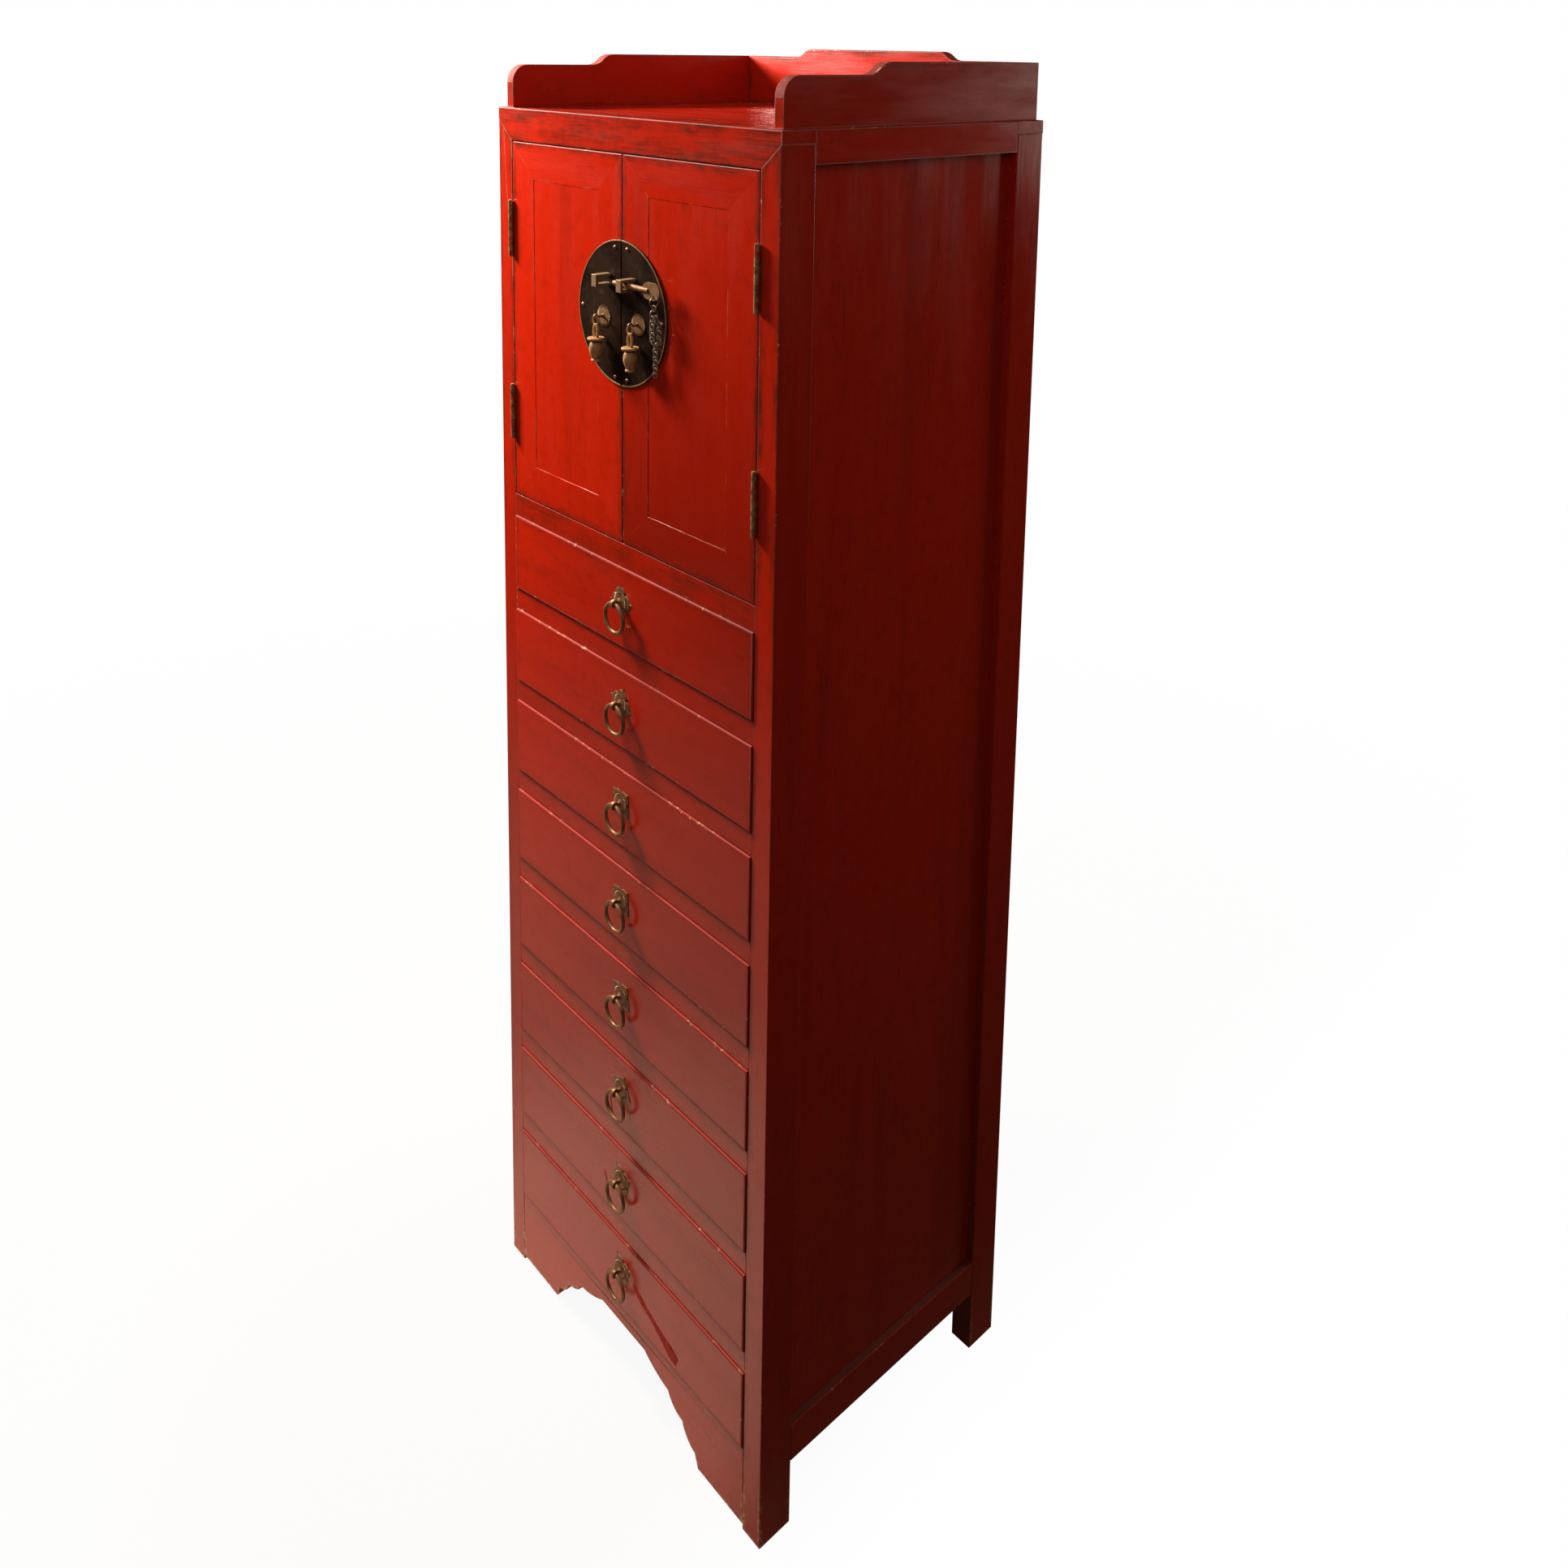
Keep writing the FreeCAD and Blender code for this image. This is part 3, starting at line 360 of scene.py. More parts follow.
# brass: patina, black in the hollows, shine on the ridges; one colouring for each kind of fitting
brassWork = {"specular": 0.2, "pitBump": (0.25, 0.2 * mm), "patinaBump": (0.3, 0.4 * mm),
             "noise": {"patina": {"perMetre": 160.0, "detail": 5.0, "rough": 0.65},
                       "grime": {"perMetre": 420.0, "detail": 4.0, "rough": 0.6},
                       "pits": {"perMetre": 900.0}},
             "span": {"patina": (0.36, 0.64), "hollow": (0.50, 0.44, 0.0, 0.75),
                      "grime": (0.56, 0.78, 0.0, 0.7), "ridge": (0.53, 0.62, 0.0, 0.8), "dull": (0.3, 0.7)}}
brassLooks = {
    "agedBrass": {"bright": colour(0.36, 0.175, 0.085), "aged": colour(0.22, 0.10, 0.047),
                  "black": colour(0.035, 0.020, 0.013), "shine": colour(0.50, 0.33, 0.20),
                  "metallic": 0.55, "rough": (0.36, 0.55)},
    "lockBrass": {"bright": colour(0.29, 0.148, 0.058), "aged": colour(0.20, 0.098, 0.040),
                  "black": colour(0.030, 0.017, 0.010), "shine": colour(0.34, 0.21, 0.11),
                  "metallic": 0.4, "rough": (0.52, 0.66)},
    "pendantBrass": {"bright": colour(0.52, 0.27, 0.112), "aged": colour(0.38, 0.19, 0.078),
                     "black": colour(0.040, 0.022, 0.013), "shine": colour(0.42, 0.25, 0.13),
                     "metallic": 0.2, "rough": (0.52, 0.66)},
    "copper": {"bright": colour(0.52, 0.22, 0.12), "aged": colour(0.25, 0.09, 0.05),
               "black": colour(0.03, 0.018, 0.014), "shine": colour(0.70, 0.40, 0.28),
               "metallic": 0.88, "rough": (0.3, 0.5)},
    "chainMetal": {"bright": colour(0.30, 0.22, 0.16), "aged": colour(0.17, 0.115, 0.08),
                   "black": colour(0.022, 0.016, 0.012), "shine": colour(0.55, 0.46, 0.36),
                   "metallic": 0.75, "rough": (0.24, 0.42)}}


def makeBrass(name, work):
    f = Finish(name)
    look, noise, span = brassLooks[name], work["noise"], work["span"]
    where = f.place()
    patina, grime = f.cloud(where, **noise["patina"]), f.cloud(where, **noise["grime"])
    ridge = f.add("ShaderNodeNewGeometry", {}, "Pointiness")
    metal = f.blend(f.band(patina, *span["patina"]), look["aged"], look["bright"])
    metal = f.blend(f.band(ridge, *span["hollow"]), metal, look["black"])
    metal = f.blend(f.band(grime, *span["grime"]), metal, look["black"])
    metal = f.blend(f.band(ridge, *span["ridge"]), metal, look["shine"])
    bump = f.bump(f.cloud(where, **noise["pits"]), *work["pitBump"], f.bump(patina, *work["patinaBump"]))
    return f.wear(Base_Color=metal, Metallic=look["metallic"], Normal=bump,
                  Specular_IOR_Level=work["specular"],
                  Roughness=f.band(grime, *span["dull"], *look["rough"]))


# lock plate: nearly black bronze with fine scratches, smudges and bright dots
plateLook = {"dark": colour(0.014, 0.0070, 0.0045), "warm": colour(0.034, 0.017, 0.0105),
             "scuff": colour(0.18, 0.135, 0.10), "scuffShare": 0.7, "metallic": 0.1, "specular": 0.01,
             "scratchPerMetre": (700.0, 700.0, 34.0), "scratchLean": (0.5, -0.35, 1.2),
             "scratchStart": (0.0, 3.0, 7.0), "bump": (0.2, 0.3 * mm),
             "noise": {"tone": {"perMetre": 20.0, "detail": 5.0, "rough": 0.6},
                       "scratch": {"perMetre": 1.0, "detail": 2.0},
                       "rubbed": {"perMetre": 42.0},
                       "smudge": {"perMetre": 80.0, "detail": 5.0, "rough": 0.7},
                       "dots": {"perMetre": 520.0, "detail": 2.0},
                       "hammer": {"perMetre": 300.0, "detail": 4.0}},
             "span": {"tone": (0.35, 0.62), "scratch": (0.68, 0.76), "rubbed": (0.46, 0.66),
                      "smudge": (0.56, 0.82, 0.0, 0.5), "dots": (0.70, 0.78, 0.0, 0.8),
                      "dull": (0.0, 1.0, 0.46, 0.64)}}


def makePlateBronze(look):
    f = Finish("plateBronze")
    noise, span = look["noise"], look["span"]
    where = f.place()
    metal = f.blend(f.band(f.cloud(where, **noise["tone"]), *span["tone"]), look["dark"], look["warm"])
    scratches = []
    for lean, start in zip(look["scratchLean"], look["scratchStart"]):
        slant = f.add("ShaderNodeMapping", {"Vector": where, "Location": (start, start, start),
                                            "Rotation": (0, lean, 0), "Scale": look["scratchPerMetre"]})
        scratches.append(f.band(f.cloud(slant, **noise["scratch"]), *span["scratch"]))
    rubbed, smudge, dots = (f.band(f.cloud(where, **noise[name]), *span[name])
                            for name in ("rubbed", "smudge", "dots"))
    scuff = f.largest(f.times(f.largest(*scratches), rubbed), smudge, dots)
    metal = f.blend(f.times(scuff, look["scuffShare"]), metal, look["scuff"])
    return f.wear(Base_Color=metal, Metallic=look["metallic"], Roughness=f.band(scuff, *span["dull"]),
                  Normal=f.bump(f.cloud(where, **noise["hammer"]), *look["bump"]),
                  Specular_IOR_Level=look["specular"])


# hinges were lacquered over with the doors, and the red has rubbed off most of the metal
hingeLook = {"bronze": colour(0.46, 0.25, 0.11), "dark": colour(0.14, 0.072, 0.034),
             "red": colour(0.40, 0.016, 0.004), "bump": (0.4, 0.3 * mm),
             "noise": {"worn": {"perMetre": 240.0, "detail": 4.0, "rough": 0.65},
                       "left": {"perMetre": (160.0, 160.0, 70.0), "rough": 0.6}},
             "span": {"worn": (0.36, 0.64), "left": (0.51, 0.58), "metallic": (0.0, 1.0, 0.5, 0.0),
                      "dull": (0.3, 0.7, 0.42, 0.6)}}


def makeHingeMetal(look):
    f = Finish("hingeMetal")
    noise, span = look["noise"], look["span"]
    where = f.place()
    worn = f.cloud(where, **noise["worn"])
    left = f.band(f.cloud(where, **noise["left"]), *span["left"])
    metal = f.blend(f.band(worn, *span["worn"]), look["dark"], look["bronze"])
    metal = f.blend(left, metal, look["red"])
    return f.wear(Base_Color=metal, Metallic=f.band(left, *span["metallic"]),
                  Normal=f.bump(f.plus(worn, left), *look["bump"]), Roughness=f.band(worn, *span["dull"]))


# deeper red, dull lacquer: runs on drawers 6 and 7, and the streak on drawer 8
markTint = {"thin": colour(0.46, 0.020, 0.004), "thick": colour(0.26, 0.009, 0.003), "specular": 0.12,
           "bump": (0.3, 0.4 * mm), "pool": {"perMetre": 130.0, "detail": 4.0, "rough": 0.6},
           "tone": (0.38, 0.66), "dull": (0.3, 0.7, 0.5, 0.68)}


def makeMarkLacquer(look):
    f = Finish("markLacquer")
    pool = f.cloud(f.place(), **look["pool"])
    red = f.blend(f.band(pool, *look["tone"]), look["thin"], look["thick"])
    return f.wear(Base_Color=red, Roughness=f.band(pool, *look["dull"]), Normal=f.bump(pool, *look["bump"]),
                  Specular_IOR_Level=look["specular"])


redLacquer = makeLacquer(lacquerLook)
markLacquer = makeMarkLacquer(markTint)
hingeMetal = makeHingeMetal(hingeLook)
bareWood = makeBareWood(bareLook)
brasses = {name: makeBrass(name, brassWork) for name in brassLooks}
plateBronze = makePlateBronze(plateLook)
print("finishes mixed")

smoothAngle = math.radians(38)  # edges sharper than this stay sharp


def addPiece(name, bm, body, slot, material, *replaced):
    bmesh.ops.recalc_face_normals(bm, faces=bm.faces)
    for node in replaced:
        low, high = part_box(node)
        for vert in bm.verts:
            vert.co = [min(max(vert.co[a], low[a]), high[a]) for a in range(3)]
    mesh = bpy.data.meshes.new(name)
    bm.to_mesh(mesh)
    bm.free()
    mesh.materials.append(material)
    mesh.shade_smooth()
    mesh.set_sharp_from_angle(angle=smoothAngle)
    piece = bpy.data.objects.new(name, mesh)
    bpy.context.scene.collection.objects.link(piece)
    flat = piece.modifiers.new("flatFaces", "WEIGHTED_NORMAL")
    flat.keep_sharp = True
    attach(piece, body)
    if replaced:
        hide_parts(*replaced)
    return piece


# boards: eased edges, narrow bands along every edge for the burnish, and the run of the grain
boardWork = {"easedEdge": 1.1 * mm, "easedSteps": 3, "jointEdge": 0.22 * mm, "jointSteps": 2,
             "bands": (1.6 * mm, 2.4 * mm, 8.0 * mm), "bandRoom": 2.2, "leastFlat": 2 * mm,
             "sharpAngle": math.radians(40), "smallFace": 3e-5, "grainShift": 3, "toneSpread": 0.3}
narrowWork = {**boardWork, "bands": boardWork["bands"][:2]}
plankWork = {**boardWork, "jointEdge": 0.5 * mm}


def boardLayers(bm):
    made = {name: bm.verts.layers.float.new(name) for name in ("edgeDist", "joint", "tone", "dirt")}
    made["woodCoord"] = bm.verts.layers.float_vector.new("woodCoord")
    made["done"] = bm.verts.layers.int.new("done")
    return made


def looseBoards(bm, done):
    seen, boards = set(), []
    for first in bm.verts:
        if first in seen or first[done]:
            continue
        seen.add(first)
        board, waiting = [], [first]
        while waiting:
            vert = waiting.pop()
            board.append(vert)
            for edge in vert.link_edges:
                other = edge.other_vert(vert)
                if other not in seen:
                    seen.add(other)
                    waiting.append(other)
        boards.append(board)
    return boards


def sharpEdges(bm, done, angle, chosen):
    # sharp edges of the newest boards, of which chosen picks by the edge's middle and run
    found = []
    for edge in bm.edges:
        first, last = edge.verts
        if not first[done] and len(edge.link_faces) == 2 and edge.calc_face_angle(0) > angle:
            if chosen((first.co + last.co) / 2, (last.co - first.co).normalized()):
                found.append(edge)
    return found


def bevel(bm, edges, width, steps):
    if not edges:
        return []
    return bmesh.ops.bevel(bm, geom=edges, offset=width, offset_type="OFFSET", segments=steps, profile=0.5,
                           affect="EDGES", clamp_overlap=True, loop_slide=True)["verts"]


def faceWidth(face):
    spans = sorted(max(v.co[a] for v in face.verts) - min(v.co[a] for v in face.verts) for a in range(3))
    return spans[1]


def addBands(bm, layer, work):
    # rings inside each flat face, which carry their distance from the edge
    flats = [f for f in bm.faces if not f.verts[0][layer["done"]] and f.calc_area() > work["smallFace"]]
    reach = 0.0
    for step in work["bands"]:
        reach += step
        flats = [f for f in flats if faceWidth(f) > work["bandRoom"] * step + work["leastFlat"]]
        if not flats:
            break
        bmesh.ops.inset_individual(bm, faces=flats, thickness=step, depth=0, use_even_offset=True)
        for face in flats:
            for vert in face.verts:
                vert[layer["edgeDist"]] = reach


def noEdge(spot, run):
    return False


def dressBoards(bm, layer, work=boardWork, eased=noEdge, tight=noEdge, crack=None, handled=None, shade=None,
                dusty=None):
    done = layer["done"]
    addBands(bm, layer, work)
    chosen = sharpEdges(bm, done, work["sharpAngle"], eased)
    for vert in bevel(bm, chosen, work["easedEdge"], work["easedSteps"]):
        vert[layer["edgeDist"]] = 0.0
    chosen = sharpEdges(bm, done, work["sharpAngle"], lambda spot, run: not tight(spot, run))
    for vert in bevel(bm, chosen, work["jointEdge"], work["jointSteps"]):
        vert[layer["edgeDist"]] = 0.0
        vert[layer["joint"]] = crack(vert.co) if crack else 0.0
    for board in looseBoards(bm, done):
        low = Vector([min(v.co[a] for v in board) for a in range(3)])
        high = Vector([max(v.co[a] for v in board) for a in range(3)])
        along, across, through = sorted(range(3), key=lambda a: low[a] - high[a])
        dice = random.Random("%.3f %.3f %.3f" % tuple(low + high))
        shift = Vector([dice.uniform(-work["grainShift"], work["grainShift"]) for _ in range(3)])
        tone = dice.uniform(0, work["toneSpread"])
        for vert in board:
            spot = vert.co
            if handled:
                vert[layer["edgeDist"]] = handled(spot)
            vert[layer["woodCoord"]] = Vector((spot[along], spot[across], spot[through])) + shift
            vert[layer["tone"]] = shade(spot) if shade else tone
            vert[layer["dirt"]] = dusty(spot) if dusty else 0.0
            vert[done] = 1


def addPrism(bm, outline, axis, low, high):
    # outline in the two other axes, in order, drawn from low to high along the axis
    rings = []
    for level in (low, high):
        ring = []
        for across, along in outline:
            spot = [across, along]
            spot.insert(axis, level)
            ring.append(bm.verts.new(spot))
        rings.append(ring)
    bm.faces.new(rings[0])
    bm.faces.new(rings[1][::-1])
    for i in range(len(outline)):
        j = (i + 1) % len(outline)
        bm.faces.new((rings[0][i], rings[0][j], rings[1][j], rings[1][i]))
    bmesh.ops.recalc_face_normals(bm, faces=bm.faces)


def rectangle(left, low, right, high):
    return [(left, low), (right, low), (right, high), (left, high)]


def addBlock(bm, low, high):
    addPrism(bm, rectangle(low[0], low[1], high[0], high[1]), 2, low[2], high[2])


# the CAD mesh with its flat faces whole again
solidWork = {"weld": 1e-6, "flatAngle": math.radians(1)}


def cadSolid(node):
    bm = bmesh.new()
    bm.from_mesh(nodes[node].data)
    bmesh.ops.remove_doubles(bm, verts=bm.verts, dist=solidWork["weld"])
    bmesh.ops.dissolve_limit(bm, angle_limit=solidWork["flatAngle"], verts=bm.verts, edges=bm.edges)
    return bm


def boardFromCad(node, slot, material, **dressing):
    bm = cadSolid(node)
    dressBoards(bm, boardLayers(bm), **dressing)
    return addPiece(node + ".wood", bm, bodyOf[node], slot, material, node)


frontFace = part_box("front_left_post")[0].y
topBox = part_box("top_frame")
doorHead, outerX = topBox[0].z, topBox[1].x


def outlineOf(low, high):
    # how far a place on a box is from the nearest edge of the box
    return lambda spot: sorted(min(spot[a] - low[a], high[a] - spot[a]) for a in range(3))[1]


leastSlant = 0.1  # an edge that runs less than this along x or z is upright or level


def slants(run):
    return min(abs(run.x), abs(run.z)) > leastSlant


def closedJoint(spot, run):
    # only the left front mitre has opened; on the flanks the joints are closed too
    mitre = slants(run) and (spot.x > 0 or spot.y > 0)
    shoulder = abs(spot.x) > outerX - hair and doorHead + mm < spot.z < topBox[1].z - hair
    return mitre or shoulder


# posts; the reveals of the back ones, beside the side panels, are painted a brighter red as a painted
# highlight, with no edge wear, and darker low down as painted shade in the recess
postLook = {"uprightRun": 0.9, "leftCrack": 1.0, "rightCrack": 0.15, "tone": 0.35,
            "reveal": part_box("side_panels")[1].y, "revealHighlightTone": 0.0, "revealClear": 20 * mm,
            "recessShadingFrom": 1.2, "recessShadingReach": 0.8, "mostRecessShading": 0.9}


def postEdge(spot, run):
    return abs(spot.x) > outerX - hair and abs(run.z) > postLook["uprightRun"] or spot.z < hair


def postCrack(spot):
    if spot.z < doorHead - mm:
        return 0.0
    return postLook["leftCrack"] if spot.x < 0 else postLook["rightCrack"]


def onReveal(spot):
    return abs(spot.y - postLook["reveal"]) < mm


# painted highlight: the reveal keeps the bright lacquer, without the posts' darker tone
def postShade(spot):
    return postLook["revealHighlightTone"] if onReveal(spot) else postLook["tone"]


# painted shade: the reveal darkens from a set height down towards the bottom
def revealRecessShading(spot):
    low = max(postLook["recessShadingFrom"] - spot.z, 0) / postLook["recessShadingReach"]
    return min(low, postLook["mostRecessShading"]) if onReveal(spot) else 0.0


def postReach(node):
    plain = outlineOf(*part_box(node))
    return lambda spot: postLook["revealClear"] if onReveal(spot) else plain(spot)


for node in ("front_left_post", "front_right_post", "back_left_post", "back_right_post"):
    boardFromCad(node, "red_lacquer", redLacquer, eased=postEdge, tight=closedJoint, crack=postCrack,
                 handled=postReach(node), shade=postShade, dusty=revealRecessShading)

topLook = {"openCrack": 1.0, "closedCrack": 0.12}


def makeTopFrame(look):
    low, high = topBox
    post, panel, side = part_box("front_right_post"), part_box("top_panel"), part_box("side_panels")
    inner, mitre = post[0].x, post[1].z
    bm = bmesh.new()
    layer = boardLayers(bm)

    def eased(spot, run):
        rim = abs(spot.x) > outerX - hair or spot.y < low.y + hair or spot.y > high.y - hair
        return rim and (spot.z > high.z - hair or spot.z < low.z + hair)

    def crack(spot):
        opened = spot.x < -inner + hair and spot.z < mitre + mm and spot.y < 0
        return look["openCrack"] if opened else look["closedCrack"]

    outline = [(-inner, low.z), (inner, low.z), (high.x, mitre), (high.x, high.z), (low.x, high.z),
               (low.x, mitre)]
    for near, far in ((low.y, post[1].y), (panel[1].y, high.y)):
        addPrism(bm, outline, 1, near, far)
        dressBoards(bm, layer, narrowWork, eased=eased, tight=closedJoint, crack=crack,
                    handled=outlineOf((low.x, near, low.z), (high.x, far, high.z)))
    for near, far in ((low.x, panel[0].x), (panel[1].x, high.x)):
        addBlock(bm, (near, panel[0].y, side[1].z), (far, panel[1].y, high.z))
        dressBoards(bm, layer, eased=eased, tight=closedJoint, crack=crack)
    addPiece("top_frame.wood", bm, "carcase", "red_lacquer", redLacquer, "top_frame")


makeTopFrame(topLook)


def skirtEdge(spot, run):
    return spot.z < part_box("bottom_rails")[0].z + hair


def apronEdge(spot, run):
    return spot.y < frontFace + hair and spot.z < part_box("front_apron")[1].z - mm


def galleryEdge(spot, run):
    return spot.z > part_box("gallery_back")[0].z + hair


def ledgeRecessShading(spot):
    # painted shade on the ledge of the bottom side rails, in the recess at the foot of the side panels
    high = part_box("bottom_rails")[1]
    return 1.0 if abs(spot.z - high.z) < mm and abs(spot.x) < high.x - mm else 0.0


# plain boards: which edges are eased, and how dark the lacquer is; the dark back gallery board is painted
# shade, and on the rails painted shade deepens to the right and weakens below a metre
plainLook = {"crack": 0.08, "railTone": 0.4, "railPaintedShadePerMetre": 1.1,
             "boards": {"top_panel": (noEdge, 0.2), "side_panels": (noEdge, 0.1),
                        "bottom_rails": (skirtEdge, 0.2), "front_apron": (apronEdge, 0.2),
                        "gallery_sides": (galleryEdge, 0.45), "gallery_back": (galleryEdge, 0.6)}}


def plainCrack(spot):
    return plainLook["crack"]


# painted shade on the rails: darker to the right, less dark low down
def railShade(spot):
    return (plainLook["railTone"] + plainLook["railPaintedShadePerMetre"] * spot.x) * min(spot.z, 1.0)


for node, (eased, tone) in plainLook["boards"].items():
    boardFromCad(node, "red_lacquer", redLacquer, eased=eased, crack=plainCrack, dusty=ledgeRecessShading,
                 shade=lambda spot: tone)
boardFromCad("drawer_rails", "red_lacquer", redLacquer, crack=plainCrack, shade=railShade)
boardFromCad("drawer_runners", "bare_wood", bareWood)

plankCount = 4


def makePlanks(node):
    # a wide panel glued up from planks, side by side in x
    low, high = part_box(node)
    width = (high.x - low.x) / plankCount
    bm = bmesh.new()
    layer = boardLayers(bm)
    for i in range(plankCount):
        addBlock(bm, (low.x + i * width, low.y, low.z), (low.x + (i + 1) * width, high.y, high.z))
        dressBoards(bm, layer, plankWork)
    addPiece(node + ".wood", bm, bodyOf[node], "bare_wood", bareWood, node)


makePlanks("back_panel")
makePlanks("cupboard_floor")
print("carcase boards dressed")

# doors: how dark the lacquer is at the head and the foot, painted shade that deepens towards the foot of the
# right door, and how open the seams are
doorLook = {"left": (0.0, 0.1), "right": (0.0, 1.15), "panelSeam": 0.55, "frameSeam": 0.16, "panelCrack": 0.5}


def makeDoor(side, look):
    node = side + "_door_frame"
    low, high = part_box(node)
    panelLow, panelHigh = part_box(side + "_door_panel")
    outer = rectangle(low.x, low.z, high.x, high.z)
    inner = rectangle(panelLow.x, panelLow.z, panelHigh.x, panelHigh.z)

    def eased(spot, run):
        return (min(abs(spot.x - low.x), abs(spot.x - high.x)) < hair
                or min(abs(spot.z - low.z), abs(spot.z - high.z)) < hair)

    def crack(spot):
        beside = max(panelLow.x - spot.x, spot.x - panelHigh.x, panelLow.z - spot.z, spot.z - panelHigh.z)
        return look["panelSeam"] if abs(beside) < mm else look["frameSeam"]

    def handled(spot):
        # hands and cloths reach the door's outline, not the seams inside it
        return min(spot.x - low.x, high.x - spot.x, spot.z - low.z, high.z - spot.z)

    def mitre(spot, run):
        return slants(run)

    # painted shade: the door goes darker from its head down to its foot
    def shade(spot):
        top, foot = look[side]
        return top + (foot - top) * (high.z - spot.z) / (high.z - low.z)

    bm = bmesh.new()
    layer = boardLayers(bm)
    for i in range(4):
        j = (i + 1) % 4
        addPrism(bm, [outer[i], outer[j], inner[j], inner[i]], 1, low.y, high.y)
        dressBoards(bm, layer, eased=eased, tight=mitre, crack=crack, handled=handled, shade=shade)
    addPiece(node + ".wood", bm, bodyOf[node], "red_lacquer", redLacquer, node)
    boardFromCad(side + "_door_panel", "red_lacquer", redLacquer, crack=lambda spot: look["panelCrack"],
                 handled=handled, shade=shade)


for side in ("left", "right"):
    makeDoor(side, doorLook)

# drawers: wall thicknesses, and how dark each front is at its left and right end, painted shade that deepens
# to the right
drawerLook = {"side": 10 * mm, "back": 10 * mm, "bottom": 6 * mm,
              "tone": {1: (0.0, 0.95), 2: (0.0, 0.75), 3: (0.0, 0.7), 4: (0.0, 0.8), 5: (0.15, 0.75),
                       6: (0.35, 0.65), 7: (0.3, 0.5), 8: (0.25, 0.35)}}
drawerNumbers = list(drawerLook["tone"])


def makeDrawer(number, d):
    node = "drawer_%d_box" % number
    low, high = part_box(node)

    # painted shade: the front goes from its left tone to its darker right tone across its width
    def shade(spot):
        left, right = d["tone"][number]
        return left + (right - left) * (spot.x - low.x) / (high.x - low.x)

    boardFromCad("drawer_%d_front" % number, "red_lacquer", redLacquer, shade=shade)
    inLeft, inRight, inBack = low.x + d["side"], high.x - d["side"], high.y - d["back"]
    bm = bmesh.new()
    layer = boardLayers(bm)
    for near, far in (((low.x, low.y, low.z), (inLeft, high.y, high.z)),
                      ((inRight, low.y, low.z), (high.x, high.y, high.z)),
                      ((inLeft, inBack, low.z), (inRight, high.y, high.z)),
                      ((inLeft, low.y, low.z), (inRight, inBack, low.z + d["bottom"]))):
        addBlock(bm, near, far)
        dressBoards(bm, layer)
    addPiece(node + ".wood", bm, bodyOf[node], "bare_wood", bareWood, node)


for number in drawerNumbers:
    makeDrawer(number, drawerLook)
print("doors and drawers dressed")


# metalwork helpers: local x is to the right, local y is up, local z comes out of the front
def facing(x, y, z, spin=0.0):
    turned = Matrix(((1, 0, 0, x), (0, 0, -1, y), (0, 1, 0, z), (0, 0, 0, 1)))
    return turned @ Matrix.Rotation(math.radians(spin), 4, "Z")


def sideways(x, y, z):
    # local z runs to the right
    return Matrix(((0, 0, 1, x), (1, 0, 0, y), (0, 1, 0, z), (0, 0, 0, 1)))


def circle(radius, steps, tall=1.0):
    turns = [2 * math.pi * i / steps for i in range(steps)]
    return [(radius * math.cos(turn), tall * radius * math.sin(turn)) for turn in turns]


def joinRings(bm, here, there):
    # faces between two rings of the same count, or from a ring to a single point
    count = max(len(here), len(there))
    for k in range(count):
        after = (k + 1) % count
        if len(here) == 1:
            bm.faces.new((here[0], there[k], there[after]))
        elif len(there) == 1:
            bm.faces.new((here[k], there[0], here[after]))
        else:
            bm.faces.new((here[k], there[k], there[after], here[after]))


def closeEnds(bm, rings):
    if len(rings[0]) > 1:
        bm.faces.new(rings[0])
    if len(rings[-1]) > 1:
        bm.faces.new(rings[-1][::-1])


def sweep(bm, matrix, path, wide, thick, sides=12, closed=True, squareness=1.0):
    # a bar along a flat path; wide may be a list, one for each point
    rings, count = [], len(path)
    for i, point in enumerate(path):
        before = path[i - 1] if closed or i else path[0]
        after = path[(i + 1) % count] if closed or i + 1 < count else path[-1]
        ahead = (Vector(after) - Vector(before)).normalized()
        girth = wide[i] if isinstance(wide, list) else wide
        ring = []
        for out, rise in circle(1, sides):
            out = math.copysign(abs(out) ** squareness, out) * girth
            rise = math.copysign(abs(rise) ** squareness, rise) * thick
            spot = Vector((point[0] + ahead.y * out, point[1] - ahead.x * out, rise))
            ring.append(bm.verts.new(matrix @ spot))
        rings.append(ring)
    for here, there in zip(rings, rings[1:]):
        joinRings(bm, here, there)
    if closed:
        joinRings(bm, rings[-1], rings[0])
    else:
        closeEnds(bm, rings)


def lathe(bm, matrix, profile, steps=40):
    rings = []
    for radius, level in profile:
        spots = circle(radius, steps) if radius > 0 else [(0, 0)]
        rings.append([bm.verts.new(matrix @ Vector((x, y, level))) for x, y in spots])
    for here, there in zip(rings, rings[1:]):
        joinRings(bm, here, there)
    closeEnds(bm, rings)


def slab(bm, matrix, outline, levels, middle=0.0):
    # rings of the outline shrunk towards middle, each at its height; a height may be a function of the place
    rings = []
    for scale, height in levels:
        ring = []
        for i, (x, y) in enumerate(outline):
            level = height(i) if callable(height) else height
            ring.append(bm.verts.new(matrix @ Vector((middle + (x - middle) * scale, y * scale, level))))
        rings.append(ring)
    for here, there in zip(rings, rings[1:]):
        joinRings(bm, here, there)
    closeEnds(bm, rings)


